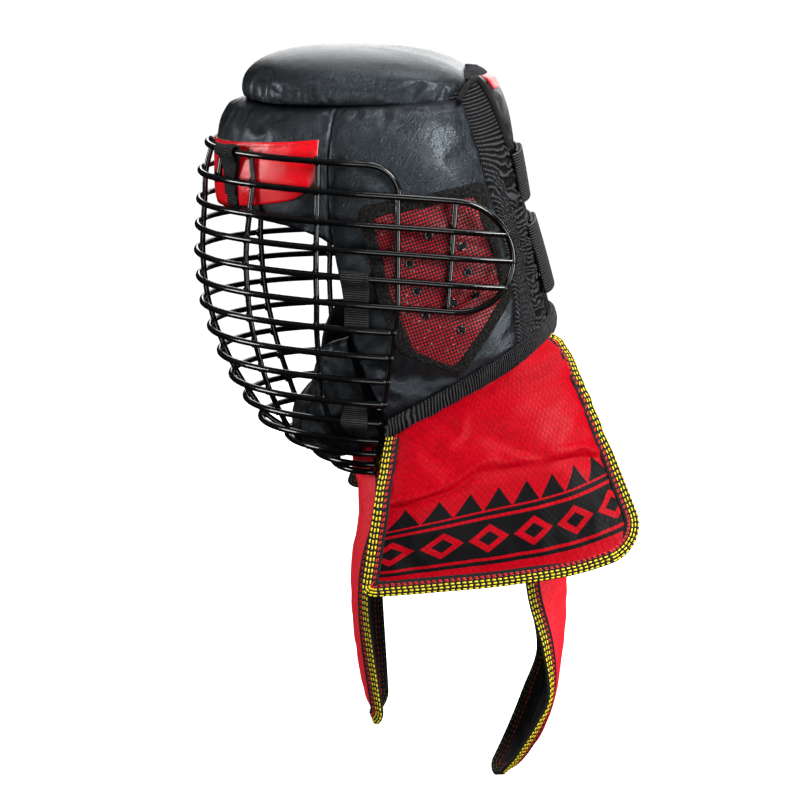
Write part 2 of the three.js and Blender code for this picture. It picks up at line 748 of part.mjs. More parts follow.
const flaps = [
  ...SIDE_FLAPS.map((flap) => [`side_flap_${flap.name}`, sideFlap(flap)]),
  ["front_flap", frontFlap()],
  ["back_flap", backFlap()],
];
for (const [name, { body, tape }] of flaps) {
  add(name, body, FINISH.flapCloth);
  add(`${name}_tape`, tape, FINISH.tape);
}

export default headgear;
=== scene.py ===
# Stick fighting headgear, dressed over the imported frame. Shapes are worked out in millimetres.
import math

import bmesh
import bpy
from mathutils import Matrix, Vector, noise
from mathutils.bvhtree import BVHTree


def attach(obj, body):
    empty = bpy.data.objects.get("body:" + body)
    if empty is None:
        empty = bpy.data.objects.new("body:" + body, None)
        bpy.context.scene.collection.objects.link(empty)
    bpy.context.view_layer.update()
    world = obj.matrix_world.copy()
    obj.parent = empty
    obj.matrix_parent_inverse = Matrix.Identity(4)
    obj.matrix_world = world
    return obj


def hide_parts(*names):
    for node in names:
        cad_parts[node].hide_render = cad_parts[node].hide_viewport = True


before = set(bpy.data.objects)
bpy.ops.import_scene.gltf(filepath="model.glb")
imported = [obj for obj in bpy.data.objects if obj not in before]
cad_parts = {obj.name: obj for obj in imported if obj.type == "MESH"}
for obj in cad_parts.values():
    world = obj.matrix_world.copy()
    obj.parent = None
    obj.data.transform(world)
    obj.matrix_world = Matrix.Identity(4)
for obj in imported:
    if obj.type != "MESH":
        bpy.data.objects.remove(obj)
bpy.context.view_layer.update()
scene = bpy.context.scene
mm = 0.001
sides = (("left", 1), ("right", -1))

# Camera, light and floor
view = {
    "target": (0, 34, -256),
    "away": (0.9700, 0.0237, 0.2419),
    "distance": 1961.3,
    "lens": 110.3,
}
light = {
    "fill": 0.03,  # how much the white surround lights the object
    "gloss": 0.18,  # and how much of it shows from above in glossy surfaces
    "floor": -760,
    "lamps": [  # place, aimed at, size, watts
        ((1300, 1200, 950), (0, 40, -180), 700, 46),
        ((100, 400, 1500), (0, 40, -100), 900, 17),
        ((300, -1700, 100), (0, 0, -200), 600, 20),
        ((2000, -60, -260), (0, 40, -120), 900, 10),
        ((900, 1600, -350), (0, 100, -400), 700, 20),
        ((-1500, 300, 700), (0, 40, -100), 1600, 26),
    ],
}


def deselect():
    if bpy.context.mode != "OBJECT":
        bpy.ops.object.mode_set(mode="OBJECT")
    bpy.ops.object.select_all(action="DESELECT")


def only(piece):
    deselect()
    piece.select_set(True)
    bpy.context.view_layer.objects.active = piece


def aim(thing, place, at):
    thing.location = Vector(place) * mm
    thing.rotation_euler = (Vector(at) - Vector(place)).to_track_quat("-Z", "Y").to_euler()


deselect()
target = Vector(view["target"])
bpy.ops.object.camera_add()
camera = bpy.context.object
camera.data.sensor_width = 36
camera.data.lens = view["lens"]
camera.data.clip_end = 100
aim(camera, target + Vector(view["away"]).normalized() * view["distance"], target)
scene.camera = camera
scene.view_settings.view_transform = "Standard"

world = scene.world or bpy.data.worlds.new("studio")
scene.world = world
world.use_nodes = True
for place, at, size, watts in light["lamps"]:
    deselect()
    bpy.ops.object.light_add(type="AREA")
    lamp = bpy.context.object
    lamp.data.size = size * mm
    lamp.data.energy = watts
    aim(lamp, place, at)
print("camera and light set")


# Shader maths
class Strand:  # a shader socket that works in sums and products
    def __init__(self, tree, socket=None):
        self.tree = tree
        self.socket = socket

    def node(self, kind, settings=None, inputs=None, out=0):
        made = self.tree.nodes.new("ShaderNode" + kind)
        for name, value in (settings or {}).items():
            setattr(made, name, value)
        for name, value in (inputs or {}).items():
            if isinstance(value, Strand):
                self.tree.links.new(value.socket, made.inputs[name])
            else:
                made.inputs[name].default_value = value
        return Strand(self.tree, made.outputs[out])

    def place(self):
        return self.node("TexCoord", out="Object")

    def clouds(self, scale, detail):
        return self.node("TexNoise", {}, {"Vector": self.place(), "Scale": scale, "Detail": detail})

    def cells(self, scale, feature="F1"):
        inputs = {"Vector": self.place(), "Scale": scale}
        return self.node("TexVoronoi", {"feature": feature}, inputs, "Distance")

    def bump(self, strength, distance, height):
        return self.node("Bump", {}, {"Strength": strength, "Distance": distance, "Height": height})

    def math(self, operation, *values):
        return self.node("Math", {"operation": operation}, dict(enumerate(values)))

    def mix(self, factor, first, second):
        first = first if isinstance(first, Strand) else (*first, 1)
        second = second if isinstance(second, Strand) else (*second, 1)
        return self.node("Mix", {"data_type": "RGBA"}, {0: factor, 6: first, 7: second}, 2)

    def axes(self):
        return [self.node("SeparateXYZ", {}, {0: self}, i) for i in range(3)]

    def between(self, low, high):  # 0 under low, 1 over high
        settings = {"interpolation_type": "SMOOTHSTEP"}
        return self.node("MapRange", settings, {"Value": self, "From Min": low, "From Max": high})

    def __add__(self, other):
        return self.math("ADD", self, other)

    def __sub__(self, other):
        return self.math("SUBTRACT", self, other)

    def __rsub__(self, other):
        return self.math("SUBTRACT", other, self)

    def __mul__(self, other):
        return self.math("MULTIPLY", self, other)

    def __truediv__(self, other):
        return self.math("DIVIDE", self, other)

    def __pow__(self, other):
        return self.math("POWER", self, other)

    def __abs__(self):
        return self.math("ABSOLUTE", self)

    def __lt__(self, other):
        return self.math("LESS_THAN", self, other)

    def __gt__(self, other):
        return self.math("GREATER_THAN", self, other)

    def fract(self):
        return self.math("FRACT", self)

    def least(self, other):
        return self.math("MINIMUM", self, other)

    def wave(self):
        return self.math("SINE", self)

    __radd__ = __add__
    __rmul__ = __mul__


def finish(name, paint, **fixed):  # paint gives a colour and mostly a normal and a roughness
    material = bpy.data.materials.new(name)
    material.use_nodes = True
    tree = material.node_tree
    shader = tree.nodes["Principled BSDF"]
    for socket, value in fixed.items():
        shader.inputs[socket.replace("_", " ")].default_value = value
    for socket, value in zip(("Base Color", "Normal", "Roughness"), paint(Strand(tree))):
        tree.links.new(value.socket, shader.inputs[socket])
    return material


def blackLeather(s):
    cells = s.cells(900, "DISTANCE_TO_EDGE")
    soft = s.clouds(24, 3)
    turned = s.node("Mapping", {}, {"Vector": s.place(), "Rotation": (-0.95, 0.15, 0)})
    drawn = s.node("Mapping", {}, {"Vector": turned, "Scale": (1, 0.28, 1.6)})
    folds = s.node("TexNoise", {}, {"Vector": drawn, "Scale": 230, "Detail": 3, "Roughness": 0.5,
                                    "Distortion": 0.6})
    crease = (1 - abs(folds - 0.5).between(0, 0.06)) * soft.between(0.4, 0.66)
    colour = s.mix(crease * 0.5 + soft * 0.4, (0.0009, 0.0013, 0.0019), (0.0055, 0.007, 0.0095))
    height = cells.between(0, 0.12) * 0.25 + folds - crease * 0.4
    return colour, s.bump(0.5, 0.0009, height), 0.24 + soft * 0.14


def redLeather(s):
    cells = s.cells(1100, "DISTANCE_TO_EDGE")
    soft = s.clouds(40, 4)
    colour = s.mix(soft, (0.7, 0.0, 0.006), (0.82, 0.003, 0.012))
    return colour, s.bump(0.35, 0.0003, cells.between(0, 0.2) * 0.3 + soft), 0.22 + soft * 0.14


def cutEdge(s):
    fibre = s.clouds(900, 3)
    return s.mix(fibre, (0.42, 0.16, 0.15), (0.78, 0.62, 0.58)), s.bump(0.4, 0.0002, fibre)


def knitLining(s):
    soft = s.clouds(35, 3)
    colour = s.mix(soft, (0.003, 0.003, 0.0032), (0.007, 0.007, 0.0075))
    return colour, s.bump(0.6, 0.0005, s.cells(700)), 0.8 + soft * 0.15


def ribbedWebbing(s):  # the piece's map runs 2 mm to a rib
    along, across, _ = s.node("TexCoord", out="UV").axes()
    wear = s.clouds(330, 3)
    rib = (along * (math.tau / 0.002) + math.pi / 2).wave() * 0.5 + 0.5
    strand = (across * (math.tau / 0.0012) + rib * 1.5).wave() * 0.5 + 0.5
    # Lighter rib crests are painted highlight and the near-black gaps between them painted shade; the wear
    # noise varies it at random
    bright = (rib * (strand * 0.45 + 0.4) + wear * 0.5 - 0.2).between(0.34, 0.8)
    colour = s.mix(bright, (0.0004, 0.0004, 0.0005), (0.06, 0.061, 0.067))
    return colour, s.bump(0.7, 0.0005, rib * 0.6 + strand * 0.35 + wear * 0.3), 0.58 + wear * 0.25


def earNet(s):  # red dots in slanting rows, dark gaps with a few pale specks of painted highlight
    _, y, z = s.place().axes()
    wander = s.clouds(18, 2) * 0.0022
    grainAndGlints = s.clouds(520, 2)
    step = ((y * 0.947 + z * 0.32 + wander) / 0.00233).fract()
    high = ((z * 0.947 - y * 0.32 + wander) / 0.0026).fract()
    dot = (1 - (abs(step - 0.5) / 0.36) ** 2 - (abs(high - 0.5) / 0.38) ** 2).between(0.05, 0.35)
    red = s.mix(grainAndGlints, (0.28, 0.0, 0.006), (0.54, 0.002, 0.018))
    colour = s.mix(dot, (0.002, 0.0015, 0.0015), red)
    # The pale specks in the gaps are painted highlights
    colour = s.mix((1 - dot) * grainAndGlints.between(0.66, 0.76), colour, (0.3, 0.31, 0.29))
    return colour, s.bump(0.9, 0.0007, dot), 0.6 - dot * 0.2


def feltTape(s):
    fuzz = s.node("TexNoise", {}, {"Vector": s.place(), "Scale": 620, "Detail": 6, "Roughness": 0.75})
    tufts = s.cells(520)
    bright = (fuzz * 0.75 + tufts * 0.5).between(0.42, 0.95)
    colour = s.mix(bright, (0.0014, 0.0013, 0.0013), (0.021, 0.0195, 0.0185))
    return colour, s.bump(0.9, 0.0008, fuzz + tufts)


def dippedWire(s):
    runs = s.clouds(60, 3)
    colour = s.mix(runs, (0.0012, 0.0012, 0.0013), (0.0035, 0.0035, 0.0038))
    return colour, s.bump(0.25, 0.0005, s.clouds(240, 2) + runs), 0.09 + runs * 0.12


def ripstop(printed):
    def paint(s):
        across, rise, _ = s.node("TexCoord", out="UV").axes()
        soft = s.clouds(30, 3)
        patchy = s.clouds(380, 1)
        first = (across * 0.76 + rise * 0.65) / 0.0041
        second = (across * 0.76 - rise * 0.65) / 0.0041
        near = abs(first.fract() - 0.5).least(abs(second.fract() - 0.5))
        between = abs((first + 0.5).fract() - 0.5).least(abs((second + 0.5).fract() - 0.5))
        lines = 1 - near.between(0.03, 0.12)
        faint = 1 - between.between(0, 0.08)
        cushionAndHighlight = near * 2
        patches = patchy.between(0.35, 0.65)
        if printed:
            # Brighter middles of the cells are painted highlight on the pillowed cells
            red = s.mix(patches * 0.6 + cushionAndHighlight * 0.3, (0.35, 0.0, 0.004), (0.5, 0.0, 0.012))
        else:
            # The plain cloth is the same red ripstop painted much lighter and paler: painted light and sheen
            # for the front and back flaps
            red = s.mix(patches, (0.84, 0.018, 0.032), (0.92, 0.028, 0.045))
        colour = s.mix((lines * 0.75 + faint * 0.15) * (1 if printed else 0.3), red, (0.26, 0.0, 0.002))
        if printed:
            black = s.mix(soft, (0.002, 0.002, 0.0022), (0.006, 0.006, 0.0065))
            colour = s.mix(printMask(across, rise), colour, black)
        normal = s.bump(0.3, 0.0004, cushionAndHighlight * 0.8 + soft * 0.4 + patchy * 0.2)
        return colour, normal, 0.36 + soft * 0.14 + lines * 0.12

    return paint


def printMask(across, rise):  # stripes, a band of diamonds and a row of points above the hem
    edge = 1 - abs(across).between(0.1, 0.101)
    gemStep = abs((across / 0.036).fract() - 0.5) * 2
    pointStep = abs((across / 0.024).fract() - 0.5) * 2
    stripes = (abs(rise - 0.021) < 0.0018) + (abs(rise - 0.063) < 0.0018)
    band = abs(rise - 0.042) < 0.0165
    gem = abs(rise - 0.042) / 0.0135 + gemStep
    inside = (gem < 0.9) * (gem > 0.46)
    points = (rise > 0.0665) * ((rise - 0.0665) / 0.018 + pointStep < 0.96)
    return ((stripes + band * (1 - inside) + points) * edge).least(1)


def flapLining(s):
    soft = s.clouds(25, 3)
    colour = s.mix(soft, (0.006, 0.0065, 0.007), (0.013, 0.014, 0.015))
    return colour, s.bump(0.4, 0.0003, s.cells(900)), 0.6 + soft * 0.2


def bindingTape(s):
    along, across, _ = s.node("TexCoord", out="UV").axes()
    weave = (along * (math.tau / 0.0009)).wave() * (across * (math.tau / 0.0009)).wave()
    wear = s.clouds(500, 3)
    colour = s.mix(wear, (0.0015, 0.0015, 0.0017), (0.009, 0.009, 0.0095))
    return colour, s.bump(0.6, 0.0003, weave + wear), 0.6 + wear * 0.25


def thread(dark, pale):
    def paint(s):
        strands = s.clouds(700, 3)
        return s.mix(strands.between(0.3, 0.7), dark, pale), s.bump(0.5, 0.0003, strands)

    return paint


def paleFloor(s):
    return [s.mix(s.clouds(3, 2), (0.93, 0.93, 0.93), (0.95, 0.95, 0.95))]


finishes = {
    "leather": finish("black_leather_grain", blackLeather, Specular_IOR_Level=0.5,
                      Specular_Tint=(0.78, 0.9, 1, 1)),
    "red": finish("red_leather_smooth", redLeather, Specular_IOR_Level=0.4),
    "cut": finish("leather_cut_edge", cutEdge, Roughness=0.8),
    "lining": finish("knit_lining", knitLining, Specular_IOR_Level=0.2),
    "webbing": finish("ribbed_webbing", ribbedWebbing, Specular_IOR_Level=0.16),
    "net": finish("ear_net", earNet, Specular_IOR_Level=0.25),
    "felt": finish("felt_tape", feltTape, Roughness=0.95, Specular_IOR_Level=0.15),
    "wire": finish("dipped_wire", dippedWire, Coat_Weight=0.15, Coat_Roughness=0.06,
                   Specular_IOR_Level=0.4),
    "cloth": finish("ripstop_printed", ripstop(True), Specular_IOR_Level=0.08),
    "litPlainCloth": finish("ripstop_plain_lit", ripstop(False), Specular_IOR_Level=0.2),
    "flapLining": finish("flap_lining", flapLining, Specular_IOR_Level=0.3),
    "tape": finish("binding_tape", bindingTape, Specular_IOR_Level=0.3),
    "yellow": finish("yellow_thread", thread((0.8, 0.56, 0.0), (1.0, 0.84, 0.0)), Roughness=0.6),
    "redThread": finish("red_thread", thread((0.45, 0.002, 0.004), (0.8, 0.015, 0.012)), Roughness=0.5),
    # Stitches on the tape's inner face: the yellow thread painted dark brown as shade
    "shadedYellowThread": finish("yellow_thread_painted_shade", thread((0.05, 0.02, 0.002), (0.3, 0.17, 0.01)), Roughness=0.6),
    "darkThread": finish("dark_thread", thread((0.25, 0.0, 0.004), (0.4, 0.006, 0.01)), Roughness=0.6),
    "eyelet": finish("black_eyelet", dippedWire, Coat_Weight=0.4),
    "floor": finish("pale_floor", paleFloor, Roughness=0.9, Emission_Color=(1, 1, 1, 1),
                    Emission_Strength=1.0),
}
print("materials made")

deselect()
bpy.ops.mesh.primitive_plane_add(size=60, location=(0, 0, light["floor"] * mm))
floor = bpy.context.object
floor.name = "floor"
bpy.ops.object.transform_apply(location=True, rotation=True, scale=True)
floor.data.materials.append(finishes["floor"])
floor.visible_diffuse = False
floor.visible_glossy = False

path = Strand(world.node_tree)
seen = path.node("LightPath", out="Is Camera Ray")
shiny = path.node("LightPath", out="Is Glossy Ray")
_, _, above = path.node("TexCoord", out="Generated").axes()
gloss = above.between(0.15, 0.95) * light["gloss"] + 0.01
surround = seen + (1 - seen) * (shiny * gloss + (1 - shiny) * light["fill"])
paper = world.node_tree.nodes["Background"]
paper.inputs[0].default_value = (1, 1, 1, 1)
world.node_tree.links.new(surround.socket, paper.inputs[1])


# Shared ways of making a mesh
def lerp(a, b, t):
    return a + (b - a) * t


def clamp(value, low=0.0, high=1.0):
    return min(max(value, low), high)


def smooth(value, low, high):
    t = clamp((value - low) / (high - low))
    return t * t * (3 - 2 * t)


def crowd(t, share=0.6):  # steps that crowd toward both ends
    return lerp(t, 0.5 - 0.5 * math.cos(math.pi * t), share)


def through(rows, at):  # a smooth curve through a table's rows, read by its first column
    at = clamp(at, rows[0][0], rows[-1][0])
    i = 0
    while i < len(rows) - 2 and at > rows[i + 1][0]:
        i += 1
    last, here, after, beyond = rows[max(i - 1, 0)], rows[i], rows[i + 1], rows[min(i + 2, len(rows) - 1)]
    span = after[0] - here[0]
    t = (at - here[0]) / span
    found = []
    for k in range(1, len(here)):
        leave = (after[k] - last[k]) / (after[0] - last[0]) * span
        reach = (beyond[k] - here[k]) / (beyond[0] - here[0]) * span
        a = 2 * here[k] - 2 * after[k] + leave + reach
        b = 3 * after[k] - 3 * here[k] - 2 * leave - reach
        found.append(((a * t + b) * t + leave) * t + here[k])
    return found


def counted(rows):  # the rows with the share passed in front
    return [(i / (len(rows) - 1), *row) for i, row in enumerate(rows)]


def alter(piece, kind, **settings):  # one modifier, applied
    only(piece)
    bpy.ops.object.modifier_add(type=kind)
    made = piece.modifiers[-1]
    for name, value in settings.items():
        setattr(made, name, value)
    bpy.ops.object.modifier_apply(modifier=made.name)


def sided(side, point):  # the point, or its mirror image for side -1
    return Vector((side * point.x, point.y, point.z))


def fromMiddle(spot):  # outward from the middle of the shell
    return spot.x, spot.y - 20, 0


def named(name):
    piece = bpy.context.object
    piece.name = name
    piece.data.name = name
    return piece


def dress(piece, *names):
    for name in names:
        piece.data.materials.append(finishes[name])


def seat(piece, slot, *nodes):  # rides and stands for its nodes
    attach(piece, "root")
    if nodes:
        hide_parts(*nodes)


def fit(piece, cover, slot, *nodes):
    dress(piece, cover)
    seat(piece, slot, *nodes)


def lay(net, shares, place, chart):  # moves each point to its place, and its map to the chart
    if chart:
        layer = net.uv_layers.active.data
        for loop in net.loops:
            layer[loop.index].uv = Vector(chart(*shares[loop.vertex_index][:2])) * mm
    for vertex, share in zip(net.vertices, shares):
        vertex.co = place(*share) * mm
    net.update()


def block(name, columns, rows, layers):  # a cube cut into a net on every side
    deselect()
    bpy.ops.mesh.primitive_cube_add(size=1, location=(0, 0, 0))
    piece = named(name)
    bpy.ops.object.mode_set(mode="EDIT")
    bpy.ops.mesh.select_mode(type="EDGE")
    for axis, parts in enumerate((columns, rows, layers)):
        if parts < 2:
            continue
        bpy.ops.mesh.select_all(action="DESELECT")
        net = bmesh.from_edit_mesh(piece.data)
        for edge in net.edges:
            edge.select_set(abs(edge.verts[0].co[axis] - edge.verts[1].co[axis]) > 0.5)
        bmesh.update_edit_mesh(piece.data)
        bpy.ops.mesh.subdivide(number_cuts=parts - 1)
    bpy.ops.object.mode_set(mode="OBJECT")
    return piece


def layBlock(piece, place, chart=None):
    # Slot 0 goes on the cover, 1 on the lining and 2 on the sides between them
    net = piece.data
    shares = [(v.co.x + 0.5, v.co.y + 0.5, 0.5 - v.co.z) for v in net.vertices]
    for face in net.polygons:
        depths = [shares[i][2] for i in face.vertices]
        face.material_index = 0 if max(depths) < 0.01 else 1 if min(depths) > 0.99 else 2
    lay(net, shares, place, chart)
    only(piece)
    bpy.ops.object.mode_set(mode="EDIT")
    bpy.ops.mesh.select_all(action="SELECT")
    bpy.ops.mesh.normals_make_consistent(inside=False)
    bpy.ops.object.mode_set(mode="OBJECT")
    bpy.ops.object.shade_smooth()
    return shares


def sheet(name, columns, rows, place, thick, outward, chart=None, merge=0.0):
    # A grid laid by place(u, v), thickened away from its outward side
    deselect()
    bpy.ops.mesh.primitive_grid_add(x_subdivisions=columns, y_subdivisions=rows, size=1, location=(0, 0, 0))
    piece = named(name)
    net = piece.data
    lay(net, [(v.co.x + 0.5, v.co.y + 0.5) for v in net.vertices], place, chart)
    lean = sum(face.normal.dot(Vector(outward(face.center / mm))) for face in net.polygons)
    only(piece)
    bpy.ops.object.mode_set(mode="EDIT")
    bpy.ops.mesh.select_all(action="SELECT")
    if merge:
        bpy.ops.mesh.remove_doubles(threshold=merge)
    if lean < 0:
        bpy.ops.mesh.flip_normals()
    bpy.ops.object.mode_set(mode="OBJECT")
    if thick:
        alter(piece, "SOLIDIFY", thickness=thick * mm, offset=-1, use_even_offset=False)
    only(piece)
    bpy.ops.object.shade_smooth()
    return piece


def roundOver(u, v, wide, high, start, stop, top, foot):
    # How far a padded cover sinks toward its sewn edges, with a radius for each
    radius = start if u < 0.5 else stop
    a = clamp(1 - min(u, 1 - u) * wide / radius)
    sunk = radius * (1 - math.sqrt(1 - a * a))
    radius = top if v < 0.5 else foot
    b = clamp(1 - min(v, 1 - v) * high / radius)
    return math.hypot(sunk, radius * (1 - math.sqrt(1 - b * b)))


def acrossWall(sink, wall, w):  # depth from the cover, w 0, to the lining, w 1
    return lerp(sink, wall - max(0, sink) * 0.4, w)


def swell(u, v, puff):
    return puff * (1 - (2 * u - 1) ** 2) * (1 - (2 * v - 1) ** 2)


def hump(x, wide):  # 1 in the middle, falling off on both sides
    return math.exp(-((x / wide) ** 2))


def ripple(x, y, z, size):  # soft random lumps, about -1 to 1
    return noise.noise(Vector((x, y, z)) / size) * 1.6


settling = {"quality": 6, "mass": 0.25, "pin_stiffness": 1, "tension_stiffness": 18,
            "compression_stiffness": 18, "shear_stiffness": 9, "use_pressure": True}
settlingFrames = 16


def settle(piece, free, pressure=3.0, growth=0.02, bend=1.2, cap=4.0):
    # Cloth under a little pressure: free gives each point's looseness from 0, sewn, to 1
    rest = [v.co.copy() for v in piece.data.vertices]
    group = piece.vertex_groups.new(name="sewn")
    for i, share in enumerate(free):
        group.add([i], 1 - share, "REPLACE")
    only(piece)
    bpy.ops.object.modifier_add(type="CLOTH")
    cloth = piece.modifiers[-1]
    for name, value in settling.items():
        setattr(cloth.settings, name, value)
    cloth.settings.bending_stiffness = bend
    cloth.settings.vertex_group_mass = "sewn"
    cloth.settings.shrink_min = -growth
    cloth.settings.uniform_pressure_force = pressure
    cloth.settings.effector_weights.gravity = 0
    cloth.point_cache.frame_start = 1
    cloth.point_cache.frame_end = settlingFrames
    for step in range(1, settlingFrames + 1):
        scene.frame_set(step)
    bpy.ops.object.modifier_apply(modifier=cloth.name)
    moved = 0.0
    for vertex, start in zip(piece.data.vertices, rest):
        away = vertex.co - start
        if away.length > cap * mm:
            vertex.co = start + away * (cap * mm / away.length)
        moved = max(moved, min(cap, away.length / mm))
    piece.vertex_groups.clear()
    scene.frame_set(1)
    print(piece.name, "settled, most moved", round(moved, 1), "mm")


def leatherPad(name, node, columns, rows, place, margin, crowded=(0.6, 0.6), cap=4.0):
    # A pad with a leather cover, loose but for a margin along its sewn edges, and a lining
    piece = block(name, columns, rows, 3)
    shares = layBlock(piece, lambda u, v, w: place(crowd(u, crowded[0]), crowd(v, crowded[1]), w))
    dress(piece, "leather", "lining", "leather")
    free = [0.0 if w > 0.01 else smooth(min(u, 1 - u, v, 1 - v), 0, margin) for u, v, w in shares]
    settle(piece, free, cap=cap)
    alter(piece, "SUBSURF", levels=1, render_levels=1)
    seat(piece, "black_leather", node)
    return piece


def carrier(*pieces):  # a tree to find the surface that a piece lies on
    points, faces = [], []
    for piece in pieces:
        start = len(points)
        points += [v.co.copy() for v in piece.data.vertices]
        faces += [[start + i for i in face.vertices] for face in piece.data.polygons]
    return BVHTree.FromPolygons(points, faces)


def copies(name, model, places):  # one mesh of a small model repeated at each matrix
    points, faces = [], []
    shape = [v.co.copy() for v in model.data.vertices]
    corners = [tuple(face.vertices) for face in model.data.polygons]
    for matrix in places:
        start = len(points)
        points += [matrix @ spot for spot in shape]
        faces += [[start + i for i in corner] for corner in corners]
    net = bpy.data.meshes.new(name)
    net.from_pydata(points, [], faces)
    piece = bpy.data.objects.new(name, net)
    scene.collection.objects.link(piece)
    only(piece)
    bpy.ops.object.shade_smooth()
    return piece


def capsule(name, length, width, height):  # one stitch lying along X
    deselect()
    bpy.ops.mesh.primitive_uv_sphere_add(segments=6, ring_count=3, radius=0.5, location=(0, 0, 0))
    piece = bpy.context.object
    piece.name = name
    bpy.ops.transform.rotate(value=math.pi / 2, orient_axis="Y", center_override=(0, 0, 0))
    bpy.ops.object.transform_apply(location=True, rotation=True, scale=True)
    for v in piece.data.vertices:
        v.co.x = math.copysign(abs(2 * v.co.x) ** 0.45, v.co.x) / 2 * length * mm
        v.co.y *= width * mm
        v.co.z *= height * mm
    return piece


def facingMatrix(spot, ahead, normal):
    ahead = (ahead - normal * ahead.dot(normal)).normalized()
    side = normal.cross(ahead)
    turn = Matrix((ahead, side, normal)).transposed().to_4x4()
    return Matrix.Translation(spot) @ turn


# Padded shell, in the frame's millimetres
shell = {
    "rows": [  # height, front, back, half width
        (-275, -98, 163, 92),
        (-185, -102, 154, 97),
        (-120, -105, 142, 97),
        (-70, -107, 129, 95),
        (-38, -104, 119, 88),
        (-10, -90, 109, 74),
        (14, -74, 98, 58),
    ],
    "frontPower": 2,
    "backPower": 2.5,
    "widest": 0.54,
    "wall": 22,
    "wallTop": -12.5,
}
neck = {
    "y": 20, "z": -261, "slope": 0.56, "tape": 16.5, "below": 8,
    "long": 470, "rib": 2.5, "depth": 0.55, "bulge": 4, "lumps": 0.35, "sunk": 0.6, "thick": 4,
}


def shellHalf(z, behind):
    front, back, half = through(shell["rows"], z)
    centre = lerp(front, back, shell["widest"])
    if behind:
        return half, centre, back - centre, shell["backPower"]
    return half, centre, centre - front, shell["frontPower"]


def shellPoint(turn, z, depth=0.0):  # turn is 0 at the brow, 90 degrees over the left ear
    sine, cosine = math.sin(turn), math.cos(turn)
    half, centre, reach, power = shellHalf(z, cosine < 0)
    x = half * math.copysign(abs(sine) ** (2 / power), sine)
    y = -reach * math.copysign(abs(cosine) ** (2 / power), cosine)
    slopeX = math.copysign(abs(x / half) ** (power - 1), x) / half
    slopeY = math.copysign(abs(y / reach) ** (power - 1), y) / reach
    length = math.hypot(slopeX, slopeY)
    return Vector((x - slopeX / length * depth, centre + y - slopeY / length * depth, z))


def turnAtY(y, z):
    behind = y > shellHalf(z, True)[1]
    _, centre, reach, power = shellHalf(z, behind)
    share = clamp(abs(y - centre) / reach) ** (power / 2)
    return math.acos(-share if behind else share)


def turnAtX(x, z):
    half, _, _, power = shellHalf(z, True)
    return math.pi - math.asin(clamp(x / half) ** (power / 2))


def neckAt(turn):
    z = neck["z"]
    for _ in range(10):
        z = neck["z"] + neck["slope"] * (shellPoint(turn, z).y - neck["y"])
    return z


neckTable = [(i / 90 * math.tau, neckAt(i / 90 * math.tau)) for i in range(91)]


def neckZ(turn):
    return through(neckTable, turn % math.tau)[0]


def neckTop(turn):
    return neckZ(turn) + neck["tape"] - neck["below"]


# Side seams from the crown down to the neck tape: front y, front z, back y, back z
sideSeams = counted([
    (-12, -12.5, 82, -8),
    (-17, -50, 95, -45),
    (-16.5, -91, 107, -84),
    (-12, -125, 116, -118),
    (-4, -165, 121.5, -146),
    (7, -207, 124.5, -166),
    (28, -253, 126, -197.5),
])
frontSeam = [(row[2], row[1]) for row in reversed(sideSeams)]
backSeam = [(row[4], row[3]) for row in reversed(sideSeams)]


def frontTurn(share, z):
    return share * turnAtY(through(frontSeam, z)[0] + 0.5, z)


# Crown pad
crown = {
    "seam": -12.5, "spring": -8, "top": 25.7, "front": -88, "middle": -8, "back": 91, "half": 70.5,
    "power": 2.4, "over": 0.92, "tuck": 0.024, "frontPower": 2.2, "backPower": 3.2, "liningRim": 0.72,
    "pleatDepth": 2.0,
    "pleats": [(12, 2.6), (21, 3), (31, 3.6), (44, 4), (-15, 3), (-28, 4)],  # turn and width in degrees
}


def crownProfile(s):
    if s < crown["over"]:
        angle = s / crown["over"] * math.pi / 2
        bend = 2 / crown["power"]
        return math.sin(angle) ** bend, lerp(crown["spring"], crown["top"], math.cos(angle) ** bend)
    t = (s - crown["over"]) / (1 - crown["over"])
    return 1 - crown["tuck"] * t ** 1.6, lerp(crown["spring"], crown["seam"], t)


def crownPlace(u, v, w):
    a, b = 2 * u - 1, 2 * v - 1
    x, y = a * math.sqrt(1 - b * b / 2), b * math.sqrt(1 - a * a / 2)
    s = min(1.0, math.hypot(x, y))
    turn = math.atan2(x, -y)
    r, z = crownProfile(s)
    innerR = crown["liningRim"] * math.sin(s * math.pi / 2)
    innerZ = lerp(crown["seam"], 0, math.cos(s * math.pi / 2))
    behind = math.cos(turn) < 0
    bend = 2 / (crown["backPower"] if behind else crown["frontPower"])
    across = math.copysign(abs(math.sin(turn)) ** bend, math.sin(turn))
    ahead = math.copysign(abs(math.cos(turn)) ** bend, math.cos(turn))
    reach = crown["back"] - crown["middle"] if behind else crown["middle"] - crown["front"]
    degrees = math.degrees(turn)
    pucker = ripple(turn * 34, 0, 3, 1.0) * 0.7 + ripple(turn * 15, 4, 0, 1.0) * 0.6
    dent = pucker * smooth(s, 0.78, 0.94) * (1 - 0.6 * smooth(s, 0.96, 1))
    for at, wide in crown["pleats"]:
        dent -= crown["pleatDepth"] * hump(degrees - at, wide / 2) * smooth(s, 0.62, 0.88)
    lump = ripple(across * 60, ahead * 60, 1, 30) * 0.5
    push = 1 + (dent + lump) / 80
    cover = Vector((crown["half"] * r * push * across, crown["middle"] - reach * r * push * ahead,
                    z + lump * (1 - s)))
    inner = Vector((crown["half"] * innerR * across, crown["middle"] - reach * innerR * ahead, innerZ))
    return cover.lerp(inner, w)


leatherPad("crown_cover", "crown_pad", 56, 56, crownPlace, 0.05, crowded=(0.2, 0.2))
print("crown pad made")


